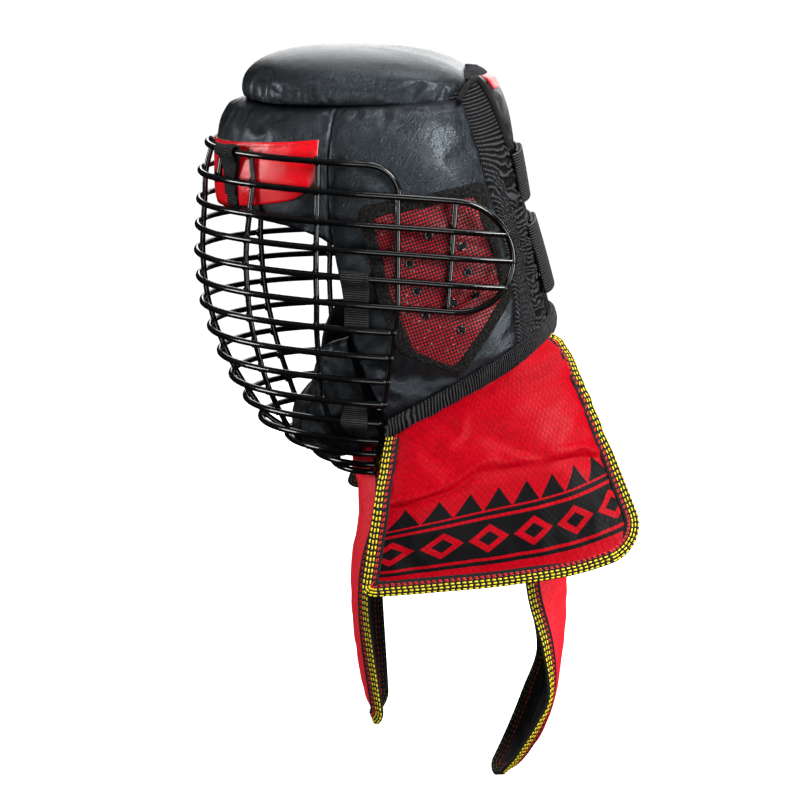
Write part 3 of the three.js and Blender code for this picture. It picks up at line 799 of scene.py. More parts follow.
# Front pad over the brow
brow = {
    "middle": -99, "arch": 6, "corner": 13, "puff": 1.2, "bulge": 3.4, "size": (240, 92),
    "radii": (5, 5, 7, 8),  # at the two ends, the top and the foot
    "pleats": [(7, 2.6), (14, 2.8), (22, 3.2), (32, 3.6), (-9, 3), (-20, 3.2), (-32, 3.6)], "pleatDepth": 2.0,
}


def browZ(share):
    return brow["middle"] - brow["arch"] * share ** 2 - brow["corner"] * share ** 8


def browPlace(u, v, w):
    share = 2 * u - 1
    z = lerp(shell["wallTop"], browZ(share), v)
    turn = frontTurn(share, z)
    sink = roundOver(u, v, *brow["size"], *brow["radii"]) - swell(u, v, brow["puff"])
    degrees = math.degrees(turn)
    ahead = smooth(math.cos(turn), 0.1, 0.7)
    sink -= brow["bulge"] * ahead * smooth(v, 0, 0.08) * (1 - smooth(v, 0.16, 0.38))
    for at, wide in brow["pleats"]:
        sink += brow["pleatDepth"] * hump(degrees - at, wide / 2) * (1 - smooth(v, 0.1, 0.42))
    flat = shellPoint(turn, z)
    sink -= ripple(*flat, 26) * 0.5 + ripple(*flat, 9) * 0.25 * (1 - smooth(v, 0, 0.35))
    return shellPoint(turn, z, acrossWall(sink, shell["wall"], w))


frontPad = leatherPad("brow_cover", "front_pad", 76, 34, browPlace, 0.07, crowded=(0.5, 0.6))
print("front pad made")


# Side pads, cheek to nape
cheek = {"puff": 2.2, "overlap": 1.5, "size": (118, 215), "radii": (4, 4.5, 9, 8)}


def cheekPlace(side):
    def place(u, v, w):
        frontY, frontZ, backY, backZ = through(sideSeams, v)
        z = lerp(frontZ, backZ, u)
        turn = turnAtY(lerp(frontY - cheek["overlap"], backY + cheek["overlap"], u), z)
        flat = shellPoint(turn, z)
        sink = roundOver(u, v, *cheek["size"], *cheek["radii"]) - swell(u, v, cheek["puff"])
        drawn = Vector((0, flat.y * 0.75 + flat.z * 0.66, (flat.z * 0.75 - flat.y * 0.66) * 3.2))
        sink -= ripple(0, flat.y, flat.z, 30) * 0.6 + noise.noise(drawn / 34) * 0.6
        sink += ripple(flat.y, 0, 0, 7) * 0.6 * (1 - smooth(v, 0.0, 0.08))
        return sided(side, shellPoint(turn, z, acrossWall(sink, shell["wall"], w)))

    return place


sidePads = {}
for name, side in sides:
    sidePads[name] = leatherPad("cheek_cover_" + name, "side_pad_" + name, 40, 62, cheekPlace(side), 0.07)
print("side pads made")


# Back panel, with the elastic web beside and above it
back = {
    "top": 6, "half": 38, "topWall": 7, "wall": 19, "radius": 5, "size": (76, 190), "puff": 1.0,
    "underTape": 9,
    "recess": [(-200, 1), (-178, 2), (-150, 4), (-95, 6), (-62, 4.5), (-42, 0.5), (-20, -2.2), (8, -2)],
}


def backPlace(u, v, w):
    foot = neckTop(math.pi) - back["underTape"]
    z = lerp(back["top"], foot, v)
    reach = math.pi - turnAtX(back["half"], z)
    level = z + (neckTop(math.pi + (2 * u - 1) * reach) - neckTop(math.pi)) * v ** 6
    turn = math.pi + (2 * u - 1) * (math.pi - turnAtX(back["half"], level))
    wall = lerp(back["topWall"], back["wall"], smooth(v, 0.05, 0.4))
    radius = min(back["radius"], wall * 0.6)
    sink = roundOver(u, v, *back["size"], radius, radius, radius, radius) - swell(u, v, back["puff"])
    sink += through(back["recess"], level)[0]
    return shellPoint(turn, level, acrossWall(sink, wall, w))


backPanel = leatherPad("back_cover", "back_panel", 26, 60, backPlace, 0.1, cap=2.0)

web = {
    "thick": 3, "recess": 0.5, "top": (-5, 5), "low": -190, "underTape": 6, "overlap": 7, "tuck": 6,
    "rib": 2.5, "coarseRib": 3.75, "depth": 0.9, "slant": 5, "sway": 4, "wander": 2.4, "wave": 1.8,
    "wide": 34,
}


def webRun(u, v, side):  # height of a point of the web, how gathered it is and how many ribs lie above it
    low = turnAtY(through(backSeam, web["low"])[0] + 1, web["low"])
    foot = neckTop(lerp(low, turnAtX(back["half"] + 1.5, web["low"]), u)) - web["underTape"]
    z = lerp(lerp(*web["top"], u), foot, v)
    gather = smooth(v, 0.16, 0.45) * lerp(0.5, 1, smooth(u, 0.2, 0.6))
    sway = web["sway"] * math.sin(z / 13) + ripple(u * 9, z / 7, side, 1.0) * web["wander"]
    return z, gather, (z - u * web["slant"] - sway * gather) / lerp(web["rib"], web["coarseRib"], gather)


def webPlace(side):
    def place(u, v):
        z, gather, ribs = webRun(u, v, side)
        start = turnAtY(through(backSeam, z)[0] - web["overlap"], z)
        stop = turnAtX(back["half"] - 2, z)
        thread = 2 * abs(math.cos(math.pi * ribs)) ** 0.7 - 1
        lift = thread * web["depth"] * lerp(0.8, 1.7, gather)
        lift += ripple(u * 5, z / 9, 2, 1.0) * web["wave"] * gather
        under = web["tuck"] * (1 - smooth(u, 0.05, 0.3)) + 1.5 * smooth(u, 0.9, 1)
        return sided(side, shellPoint(lerp(start, stop, u), z, web["recess"] + under - lift))

    return place


for name, side in sides:
    piece = sheet("elastic_web_" + name, 18, 560, webPlace(side), web["thick"],
                  fromMiddle, lambda u, v: (webRun(u, v, side)[2] * 2, u * web["wide"]))
    fit(piece, "webbing", "webbing", "back_web_" + name)

topWeb = {
    "line": counted([(86, 8.6), (91, 8.4), (97, 6.4), (101.5, 1.5), (104, -5), (106, -13)]),  # y and height
    "half": 36, "thick": 2.6, "rib": 2.4, "depth": 0.6, "lift": 2.4, "wander": 1.5, "bow": (5, 6),
}


def topWebRibs(u, v):  # gathers that run from the crown to the panel
    return (u * 2 * topWeb["half"] + ripple(u * 7, v * 2.5, 0, 1.0) * topWeb["wander"]) / topWeb["rib"]


def topWebPlace(u, v):
    y, z = through(topWeb["line"], v)
    x = lerp(-topWeb["half"], topWeb["half"], u)
    rough = math.cos(math.tau * topWebRibs(u, v)) + ripple(x / 7, v * 3, 5, 1.0)
    lift = topWeb["lift"] + rough * topWeb["depth"]
    steep = smooth(v, 0.2, 0.8)
    backward, down = [n * (x / topWeb["half"]) ** 2 for n in topWeb["bow"]]
    return Vector((x, y - backward + lift * steep, z - down + lift * (1 - 0.7 * steep)))


piece = sheet("elastic_top", 180, 40, topWebPlace, topWeb["thick"], lambda spot: (0, 1, 1),
              lambda u, v: (topWebRibs(u, v) * 2, v * 38))
fit(piece, "webbing", "webbing", "top_web")

tapeStart = turnAtY(neck["y"] + 7.5, neck["z"])


def neckRibs(u, v):
    return (u * neck["long"] + ripple(u * 30, v * 1.5, 0, 1.0) * 1.1) / neck["rib"]


def neckPlace(u, v):
    turn = lerp(tapeStart, math.tau - tapeStart, u)
    z = neckZ(turn) - neck["below"] + neck["tape"] * v
    bulge = neck["bulge"] * (1 - (2 * v - 1) ** 2) ** 0.5
    rib = math.cos(math.tau * neckRibs(u, v)) * neck["depth"]
    return shellPoint(turn, z, neck["sunk"] - bulge - rib - ripple(u * 60, v, 7, 1.0) * neck["lumps"])


piece = sheet("neck_binding", 1080, 9, neckPlace, neck["thick"], fromMiddle,
              lambda u, v: (neckRibs(u, v) * 2, v * 18))
fit(piece, "webbing", "webbing", "neck_tape")
print("back panel and elastic made")


# Jaw guard, a sling for the chin
jaw = {
    "rows": [  # turn, then the top edge and the low edge, each x, y, z
        (-0.1, 0, -50, -255, 0, -26, -295),
        (25, 34, -46, -254, 28, -21, -295),
        (45, 58, -36, -244, 46, -11, -292),
        (57, 71, -32, -215, 55, -1, -288),
        (70, 80, -24, -198, 63, 9, -282),
        (90, 84, -4, -189, 70, 22, -274),
    ],
    "swell": (12, 5), "wall": (12, 30),  # at the chin and at the sides, at the top and under the chin
    "size": (230, 46), "radius": 5.5,
}


def jawEdges(turn):
    found = through(jaw["rows"], math.degrees(abs(turn)))
    side = -1 if turn < 0 else 1
    return Vector((side * found[0], *found[1:3])), Vector((side * found[3], *found[4:6]))


def jawPlace(u, v, w):
    turn = lerp(-math.pi / 2, math.pi / 2, u)
    top, low = jawEdges(turn)
    before = jawEdges(turn - 0.02)
    after = jawEdges(turn + 0.02)
    point = top.lerp(low, v)
    inward = (after[0].lerp(after[1], v) - before[0].lerp(before[1], v)).cross(low - top).normalized()
    share = abs(2 * u - 1)
    sink = roundOver(u, v, *jaw["size"], *[jaw["radius"]] * 4)
    sink -= lerp(*jaw["swell"], smooth(share, 0.3, 0.75)) * (1 - (2 * v - 1) ** 2) * (1 - share ** 6)
    sink -= ripple(*point, 16) * 1.1 + ripple(turn * 12, v * 1.5, 3, 1.0) * 1.6 * smooth(share, 0.3, 0.6)
    sink -= ripple(turn * 22, v * 0.7, 0, 1.0) * 0.7 * (1 - smooth(v, 0.1, 0.6))
    wall = lerp(*jaw["wall"], smooth(v, 0.3, 1) * (1 - smooth(share, 0.2, 0.7)))
    return point + inward * acrossWall(sink, wall, w)


jawPad = leatherPad("jaw_cover", "jaw_guard", 84, 26, jawPlace, 0.12, cap=3.0)
print("jaw guard made")


# Face cage
cage = {
    "rows": [  # height, front, half width, rear
        (-48, -116, 102, 12), (-70, -122, 105, 30), (-92.5, -123.5, 107, 30), (-112.5, -125, 107, 30),
        (-133, -126, 107, 30), (-153.5, -125, 107, 30), (-173.5, -122.5, 105, 28), (-194, -117, 102.5, 26),
        (-214, -109.5, 99, 24), (-233, -100.5, 95, 22), (-251, -89.5, 86, 20.5), (-268, -77.5, 76, 19),
        (-282, -56.5, 66, 17), (-294.5, -34.5, 54, 15.5), (-304, -20, 42, 13.5),
    ],
    "loop": 5.0, "upright": 4.4, "bite": 0.5, "sag": 0.0002,
    "wingFirst": 1, "wingLast": 5, "arcY": 78, "reach": 43, "tuck": 0.003, "tuckFrom": 62,
    "uprights": [  # first and last bar, then the turn by bar
        (0, 14, [(0, 0), (14, 0)]),
        (0, 1, [(0, 25), (1, 25)]),
        (0, 12, [(0, 44.5), (1, 44.5), (3, 42.8), (8, 42.8), (12, 40)]),
        (0, 11, [(0, 72.6), (1, 68), (2, 68), (11, 68)]),
    ],
    "earTop": 78, "earBottom": 72, "hook": 24,
    "weld": (2.75, (1.0, 1.0, 1.12)), "fillet": (2.6, (1.0, 1.0, 1.55)),  # radius and stretch of the beads
}
wireInset = (cage["loop"] + cage["upright"]) / 2 - cage["bite"]


def barZ(bar, y):
    return bar[0] - cage["sag"] * (y - bar[1]) ** 2


def barPoint(bar, turn, inset=0.0):
    side = -1 if turn < 0 else 1
    angle = min(abs(turn), math.pi / 2)
    y = bar[3] - (bar[3] - bar[1] - inset) * math.cos(angle)
    return Vector((side * (bar[2] - inset) * math.sin(angle), y, barZ(bar, y)))


def wingX(bar, y):
    return bar[2] - cage["tuck"] * max(0, y - cage["tuckFrom"]) ** 2


def wingEnd(z):
    top, bottom = cage["rows"][cage["wingFirst"]][0], cage["rows"][cage["wingLast"]][0]
    height = (z - (top + bottom) / 2) / ((top - bottom) / 2)
    return cage["arcY"] + cage["reach"] * math.sqrt(max(0, 1 - height ** 2))


def smoothLine(points, spacing):  # a finer line through a few points
    passed = [0.0]
    for a, b in zip(points, points[1:]):
        passed.append(passed[-1] + (b - a).length)
    rows = [(at, *point) for at, point in zip(passed, points)]
    count = max(2, round(passed[-1] / spacing))
    return [Vector(through(rows, passed[-1] * i / count)) for i in range(count + 1)]


def wire(points, diameter):
    deselect()
    bpy.ops.curve.primitive_nurbs_path_add(location=(0, 0, 0))
    piece = bpy.context.object
    line = piece.data
    line.splines.clear()
    spline = line.splines.new("POLY")
    spline.points.add(len(points) - 1)
    for spot, point in zip(spline.points, points):
        spot.co = (*(point * mm), 1)
    line.dimensions = "3D"
    line.bevel_depth = diameter / 2 * mm
    line.bevel_resolution = 4
    line.use_fill_caps = True
    bpy.ops.object.convert(target="MESH")
    return bpy.context.object


def bead(point, size, stretch=(1, 1, 1)):
    deselect()
    bpy.ops.mesh.primitive_uv_sphere_add(segments=12, ring_count=8, radius=size * mm, location=point * mm)
    piece = bpy.context.object
    piece.scale = stretch
    bpy.ops.object.transform_apply(location=True, rotation=True, scale=True)
    return piece


wires = []
ends = []
welds = []
rows = cage["rows"]
for row, bar in enumerate(rows):
    tail = []
    if row == 0:
        for step in range(1, 9):
            turn = step / 8 * math.pi / 2
            tail.append(Vector((bar[2] + 1, bar[3] + cage["hook"] * math.sin(turn),
                                barZ(bar, bar[3]) - cage["hook"] * (1 - math.cos(turn)))))
    elif cage["wingFirst"] <= row <= cage["wingLast"]:
        end = wingEnd(bar[0])
        count = max(4, round((end - bar[3]) / 6))
        for step in range(1, count + 1):
            y = lerp(bar[3], end, step / count)
            tail.append(Vector((wingX(bar, y), y, barZ(bar, y))))
    else:
        ends.append(barPoint(bar, math.pi / 2))
        ends.append(barPoint(bar, -math.pi / 2))
    loop = [barPoint(bar, (i / 36) * (math.pi / 2)) for i in range(-36, 37)]
    wires.append(wire([sided(-1, p) for p in reversed(tail)] + loop + tail, cage["loop"]))
for side in (1, -1):
    top, bottom = rows[cage["wingFirst"]], rows[cage["wingLast"]]
    rim = []
    for i in range(33):
        turn = lerp(math.pi / 2, -math.pi / 2, i / 32)
        y = cage["arcY"] + cage["reach"] * math.cos(turn)
        z = lerp(barZ(top, y), barZ(bottom, y), 0.5 - 0.5 * math.sin(turn))
        rim.append(Vector((side * lerp(wingX(top, y), wingX(bottom, y), clamp(i / 8)), y, z)))
    wires.append(wire(rim, cage["loop"]))
    for bar in rows[cage["wingFirst"] + 1:cage["wingLast"]]:
        y = wingEnd(bar[0])
        welds.append(Vector((side * wingX(bar, y), y, barZ(bar, y))))
    rear = []
    for bar in rows[1:]:
        y = bar[3] + (bar[3] - rows[-1][3]) * 0.3
        rear.append(Vector((side * (bar[2] - wireInset / 2), y, barZ(bar, y))))
    wires.append(wire(smoothLine(rear, 5), cage["upright"]))
    welds += rear
    ear = []
    for i, bar in enumerate((top, rows[3], bottom)):
        y = lerp(cage["earTop"], cage["earBottom"], i / 2)
        ear.append(Vector((side * (wingX(bar, y) - wireInset), y, barZ(bar, y))))
    wires.append(wire(smoothLine(ear, 5), cage["upright"]))
    ends += [ear[0], ear[-1]]
fillets = []
for first, last, turns in cage["uprights"]:
    for side in (1, -1) if turns[0][1] else (1,):
        joints = []
        for row in range(first, last + 1):
            joints.append((rows[row], side * math.radians(through(turns, row)[0])))
        spots = [barPoint(bar, angle, wireInset) for bar, angle in joints]
        wires.append(wire(smoothLine(spots, 5), cage["upright"]))
        ends += [spots[0], spots[-1]]
        fillets += [barPoint(bar, angle, wireInset * 0.55) for bar, angle in joints]
wires += [bead(spot, cage["upright"] / 2) for spot in ends]
wires += [bead(spot, *cage["weld"]) for spot in welds]
wires += [bead(spot, *cage["fillet"]) for spot in fillets]
deselect()
for piece in wires:
    piece.select_set(True)
bpy.context.view_layer.objects.active = wires[0]
bpy.ops.object.join()
cagePiece = bpy.context.object
cagePiece.name = "wire_cage"
bpy.ops.object.shade_smooth()
fit(cagePiece, "wire", "coated_wire", "cage")
print("cage made")


# Binding round the top of the elastic web, by x and height
binding = {
    "line": [(61, -9), (52, -1), (43, 4), (37.5, 5), (36, -4), (37, -22), (38, -46)],
    "wide": 4.8, "proud": 1.0,
}
for name, side in sides:
    points = [sided(side, shellPoint(turnAtX(x, z), z, -binding["proud"])) for x, z in binding["line"]]
    piece = wire(smoothLine(points, 2.5), binding["wide"])
    piece.name = "elastic_binding_" + name
    bpy.ops.object.shade_smooth()
    fit(piece, "tape", "webbing")
print("elastic bound")


# Red patches
patch = {
    "top": -43.5, "topRise": 9, "bottom": -95, "bottomRise": 21, "corner": 18, "reach": 0.945,
    "wide": 222, "high": 48, "thick": 1.6, "inset": 3.2, "stitch": 4.2,
    "backTop": 6, "backFoot": -3, "backHalf": 26,
}
browTree = carrier(frontPad)
backTree = carrier(backPanel)


def outOf(tree, spot, centre, lift):  # moves a point out to lie on a carrier, seen from inside
    middle = Vector((centre[0], centre[1], spot.z))
    ray = (spot - middle).normalized()
    hit = tree.ray_cast((middle + ray * 400) * mm, -ray)[0]
    return spot if hit is None else hit / mm + ray * lift


def patchPlace(u, v):
    share = patch["reach"] * (2 * u - 1)
    near = clamp(1 - min(u, 1 - u) * patch["wide"] / patch["corner"])
    rounding = patch["corner"] * (1 - math.sqrt(1 - near * near))
    top = patch["top"] + patch["topRise"] * share ** 2
    z = lerp(top, patch["bottom"] + patch["bottomRise"] * share ** 2 + rounding, v)
    return outOf(browTree, shellPoint(frontTurn(share, z), z), (0, 20), patch["thick"])


browPatch = sheet("brow_patch", 110, 30, lambda u, v: patchPlace(crowd(u, 0.5), v), 0,
                  fromMiddle, lambda u, v: (u * 200, v * 45))
dress(browPatch, "red", "cut")
alter(browPatch, "SOLIDIFY", thickness=patch["thick"] * mm, offset=-1, material_offset_rim=1)
seat(browPatch, "red_leather", "forehead_patch")


def patchStitch(u, v, level):
    across = patchPlace(u + 0.004, v) - patchPlace(u - 0.004, v)
    down = patchPlace(u, v + 0.02) - patchPlace(u, v - 0.02)
    normal = across.cross(down).normalized()
    spot = patchPlace(u, v)
    if normal.dot(Vector(fromMiddle(spot))) < 0:
        normal = -normal
    return facingMatrix((spot + normal * 0.1) * mm, across if level else down, normal)


stitchCount = round(patch["wide"] / patch["stitch"])
stitchV = patch["inset"] / patch["high"]
places = [patchStitch(lerp(0.03, 0.97, i / stitchCount), stitchV, True) for i in range(stitchCount + 1)]
for u in (patch["inset"] / patch["wide"], 1 - patch["inset"] / patch["wide"]):
    places += [patchStitch(u, 0.16 + i * 0.09, False) for i in range(6)]
stitchModel = capsule("stitch", 3.0, 0.9, 0.6)
patchSewing = copies("brow_patch_sewing", stitchModel, places)
fit(patchSewing, "darkThread", "red_leather")


def backPatchPlace(u, v):
    z = lerp(patch["backTop"], patch["backFoot"], v)
    reach = math.pi - turnAtX(patch["backHalf"], z)
    return outOf(backTree, shellPoint(math.pi + (2 * u - 1) * reach, z), (0, 60), patch["thick"])


backPatch = sheet("back_patch_red", 36, 30, backPatchPlace, patch["thick"], lambda spot: (0, 1, 0),
                  lambda u, v: (u * 52, v * 38))
dress(backPatch, "red", "cut")
seat(backPatch, "red_leather", "back_patch")
print("patches made")


# Back straps
strap = {
    "upper": (-52, -89, 5.5, 1.8),  # top, bottom and how proud it stands at each
    "lower": (-107, -159, 1.8, 6),
    "reach": 44, "overlap": 22, "thick": 2.2, "step": 2.8, "rib": 1.9, "depth": 0.22,
}


def strapPlace(top, bottom, proudTop, proudBottom, start, stop, under):
    def place(u, v):
        x, z = lerp(start, stop, u), lerp(top, bottom, v)
        turn = math.tau - turnAtX(-x, z) if x < 0 else turnAtX(x, z)
        rib = strap["depth"] * math.cos(math.tau * (z - top) / strap["rib"])
        return shellPoint(turn, z, under - lerp(proudTop, proudBottom, v) - rib)

    return place


for name in ("upper", "lower"):
    top, bottom = strap[name][:2]
    parts = (
        ("strap_", -strap["reach"], strap["overlap"], strap["step"]),
        ("strap_tab_", -strap["overlap"], strap["reach"], 0),
    )
    for node, start, stop, under in parts:
        piece = sheet("webbing_" + node + name, 24, 110, strapPlace(*strap[name], start, stop, under),
                      strap["thick"], lambda spot: (spot.x * 0.2, 1, 0),
                      lambda u, v: (v * (top - bottom) / strap["rib"] * 2, u * 66))
        fit(piece, "webbing", "webbing", node + name)
print("straps made")


# Ear panels
ear = {
    "felt": [(6, -83), (98, -66), (110.5, -119), (117.5, -143), (120, -156), (82, -213), (36, -194),
             (19, -149)],
    "net": [(18, -91), (90, -77), (102, -120.5), (109, -144), (111.5, -155), (76, -205.5), (47.5, -192),
            (30.5, -146)],
    "eyelets": [(57.3, -103.6), (80.5, -113.3), (43.9, -125.6), (85.1, -133.1), (49.2, -146.3),
                (91.9, -151.3), (75.5, -156.1), (55.3, -164.5), (80.9, -176.7)],
    "netLift": 1.8, "feltLift": 2.6, "netThick": 1.4, "feltThick": 2.2,
    "ring": (2.7, 0.75), "hole": (2.2, 0.5),  # radius and wire radius, then radius and depth of the dark disc painted as the hole's shade
}
earMiddle = [sum(p[i] for p in ear["net"]) / len(ear["net"]) for i in (0, 1)]


def earLine(points, t):
    at = (t % 1) * len(points)
    first, second = points[int(at) % len(points)], points[(int(at) + 1) % len(points)]
    return [lerp(first[k], second[k], at % 1) for k in (0, 1)]


def earEdge(points, t):  # a point of an outline with softened corners, t from 0 to 1 all the way round
    found = [earLine(points, t + k * 0.006) for k in (-2, -1, 0, 1, 2)]
    return [sum(spot[k] for spot in found) / 5 for k in (0, 1)]


def earSpot(side, tree, y, z, lift):
    return outOf(tree, sided(side, shellPoint(turnAtY(y, z), z)), (0, 50), lift)


for name, side in sides:
    tree = carrier(sidePads[name])

    def netPlace(u, v):
        a, b = 2 * u - 1, 2 * v - 1
        x, y = a * math.sqrt(1 - b * b / 2), b * math.sqrt(1 - a * a / 2)
        edge = earEdge(ear["net"], math.atan2(y, x) / math.tau)
        s = min(1.0, math.hypot(x, y)) * 1.03
        spot = [lerp(earMiddle[i], edge[i], s) for i in (0, 1)]
        return earSpot(side, tree, *spot, ear["netLift"])

    def borderPlace(u, v):
        inner, outer = earEdge(ear["net"], u), earEdge(ear["felt"], u)
        spot = [lerp(inner[i], outer[i], v) for i in (0, 1)]
        fuzz = ripple(spot[0], spot[1], side * 9, 1.4) * 0.3
        return earSpot(side, tree, *spot, ear["feltLift"] + fuzz - 1.2 * (2 * v - 1) ** 6)

    net = sheet("ear_net_" + name, 56, 56, netPlace, ear["netThick"], lambda spot: (side, 0, 0))
    fit(net, "net", "ear_mesh", "ear_mesh_" + name)
    border = sheet("ear_felt_" + name, 360, 12, borderPlace, ear["feltThick"], lambda spot: (side, 0, 0),
                   merge=0.00001)
    fit(border, "felt", "felt", "ear_border_" + name)
    netTree = carrier(net)
    rings = []
    for y, z in ear["eyelets"]:
        middle = earSpot(side, netTree, y, z, 0.3)
        ahead = earSpot(side, netTree, y + 3, z, 0.3) - middle
        up = earSpot(side, netTree, y, z + 3, 0.3) - middle
        normal = ahead.cross(up).normalized() * side
        rings.append(facingMatrix(middle * mm, ahead, normal))
    deselect()
    bpy.ops.mesh.primitive_torus_add(major_segments=24, minor_segments=8, major_radius=ear["ring"][0] * mm,
                                     minor_radius=ear["ring"][1] * mm)
    ringModel = bpy.context.object
    deselect()
    bpy.ops.mesh.primitive_cylinder_add(vertices=20, radius=ear["hole"][0] * mm, depth=ear["hole"][1] * mm)
    holeModel = bpy.context.object
    eyelets = copies("eyelets_" + name, ringModel, rings)
    fit(eyelets, "eyelet", "ear_mesh")
    # A dark disc in each ring is painted shade for the hole into the dark inside, in the black lining's
    # finish
    dark = copies("eyelet_hole_shade_" + name, holeModel, rings)
    fit(dark, "lining", "ear_mesh")
    bpy.data.objects.remove(ringModel)
    bpy.data.objects.remove(holeModel)
print("ear panels made")


# Webbing tabs that hold the cage, each up from its pad, over a bar and back down its own front
tabs = {
    "rows": [  # name, bar, turn, leg, second leg, way up, width at the bar and at the foot, crumple
        ("forehead_tab", 0, 32, 42, 34, 1, 23, 14, 1.1),
        ("cheek_tab", 4, 80, 42, 40, 1, 21, 19, 0.6),
        ("jaw_tab", 10, 80, 14, 13, -1, 20, 19, 0.4),
    ],
    "thick": 1.6, "near": 3.2, "rib": 1.8, "depth": 0.18, "step": 0.9,
}


def tabPath(leg, secondLeg, radius, inward):  # away from the bar and up, as points a little apart
    def behind(down):
        return -lerp(radius, inward, smooth(down / leg, 0, 0.85))

    path = [(behind(leg * i / 8), -leg * i / 8) for i in range(8, 0, -1)]
    for i in range(13):
        bend = math.pi * (1 - 1.4 * i / 12)
        path.append((radius * math.cos(bend), radius * math.sin(bend)))
    for i in range(8):
        down = lerp(radius + 5, secondLeg, i / 7)
        path.append((behind(down) + 2 * tabs["thick"] + 0.2, -down))
    return smoothLine([Vector((away, up, 0)) for away, up in path], tabs["step"])


for tabName, row, turn, leg, secondLeg, way, head, foot, crumple in tabs["rows"]:
    bar = rows[row]
    middle = math.radians(turn)
    radius = tabs["near"] + tabs["thick"]
    perTurn = (barPoint(bar, middle + 0.05) - barPoint(bar, middle - 0.05)).length / 0.1
    hint = barPoint(bar, middle)
    for name, side in sides:
        tree = carrier(frontPad, browPatch, jawPad, sidePads[name])
        along = barPoint(bar, middle + 0.01) - hint
        start = Vector((side * hint.x, hint.y, hint.z - way * leg))
        hit = tree.ray_cast(start * mm, Vector((-side * along.y, along.x, 0)).normalized(), 0.05)
        inward = radius if hit[0] is None else clamp((hit[0] / mm - start).length - 0.8, radius, radius + 14)
        path = tabPath(leg, secondLeg, radius, inward)
        last = len(path) - 1
        ribs = last * tabs["step"] / tabs["rib"]

        def tabPlace(u, v):
            i = min(last, round(v * last))
            away, up, _ = path[i]
            ahead = (path[min(last, i + 1)] - path[max(0, i - 1)]).normalized()
            width = lerp(head, foot, smooth(-up, radius, leg * 0.6))
            angle = middle + (2 * u - 1) * width / 2 / perTurn
            at = barPoint(bar, angle)
            across = barPoint(bar, angle + 0.01) - at
            out = Vector((across.y, -across.x, 0)).normalized()
            lift = ripple(u * 2, v * 7, row + side, 1.0) * crumple * (1 - smooth(-up, radius, leg))
            lift += tabs["depth"] * math.cos(math.tau * v * ribs)
            spot = at + out * (away - ahead.y * lift)
            return sided(side, Vector((spot.x, spot.y, at.z + way * (up + ahead.x * lift))))

        piece = sheet("webbing_" + tabName + "_" + name, 16, last, tabPlace, tabs["thick"] - 0.1,
                      lambda spot: spot - sided(side, hint),
                      lambda u, v: (v * ribs * 2, u * 20))
        fit(piece, "webbing", "webbing", tabName + "_" + name)
print("tabs made")


# Guard flaps and the tape that binds their free edges
flap = {
    "thick": 5.2, "edge": 0.9, "tapeIn": 11.4, "tapeOut": 1.2, "round": 1.8, "tapeThick": 0.8, "pitch": 4.5,
    "rows": [(2.3, "yellow"), (4.8, "yellow"), (7.3, "yellow"), (9.5, "redThread"), (10.7, "redThread")],
    # The inner stitch rows take the yellow thread painted dark as shade
    "inside": [(4.2, "shadedYellowThread"), (7.0, "shadedYellowThread"), (10.2, "redThread")],
}
sideFlap = {
    "frontY": 29, "topZ": 6, "topDepth": 6.5, "ridge": (18, 8), "crest": 2.3, "groove": 2.0, "wrinkle": 1.3,
    "crease": [(0, 0.46), (0.2, 0.45), (0.37, 0.4), (0.57, 0.43), (0.82, 0.47), (1, 0.56)],
    "fold": (150, -212, 0.605, -0.796),  # a point of the slanting fold and the way across it
    "foldRidge": 3.5, "foldDip": 2.6,
}
hems = {  # side, where the top ends behind, how far the rear flares out, hem
    "left": (1, 36, 22,
             [(132, 8, -377.5), (136, 66, -371), (130, 120, -367), (118, 174, -361), (100, 228, -347)]),
    "right": (-1, 52, 8,
              [(132, -16, -367), (137, 46, -366), (131, 98, -366), (117, 144, -361), (96, 188, -351)]),
}


def measured(rows):  # the rows with the share of the way down in front
    passed = [0.0]
    for a, b in zip(rows, rows[1:]):
        passed.append(passed[-1] + math.hypot(b[0] - a[0], b[2] - a[2]))
    return [(at / passed[-1], *row) for at, row in zip(passed, rows)]


# Height, half width, middle y, left edge y, right edge y, drop of the edges, rise of the left edge, curl
frontRows = measured([
    (-280, 40, -4, 22, 22, 0, 0, 0),
    (-312, 48, 0, 25, 25, 0, 0, 0),
    (-343, 53, 3.5, 22, 16, 0, 0, 0.2),
    (-380, 54, 0.7, 12, 15.5, 0, 0, 0.5),
    (-412, 54, -0.6, 10.5, 16, 0, 0, 0.7),
    (-450, 51, 2, 14, 18, 0, 0, 0.9),
    (-485, 46, 7.5, 18, 20.5, 0, 3, 0.9),
    (-526, 40, 14, 22, 23.5, 0, 8, 0.9),
])
backRows = measured([
    (-174, 56, 146, 130, 130, 10, 0, 0),
    (-260, 57, 149, 127, 127, 3, 0, 0),
    (-330, 58, 158, 130, 130, 0, 0, 0),
    (-400, 58, 165.5, 137, 136, 0, 0, 0.2),
    (-445, 58, 164, 149, 143, 0, 0, 0.5),
    (-486, 56, 159, 154, 149, 0, 0, 0.7),
    (-515, 52, 153, 144, 138, 0, 3, 0.8),
    (-540, 46, 143.5, 133, 127, 0, 6, 0.8),
    (-560, 39, 133, 126, 115, 0, 12, 0.6),
    (-574, 31, 120, 118, 105, 0, 15, 0.5),
])
flapFirst = turnAtY(sideFlap["frontY"], neck["z"])


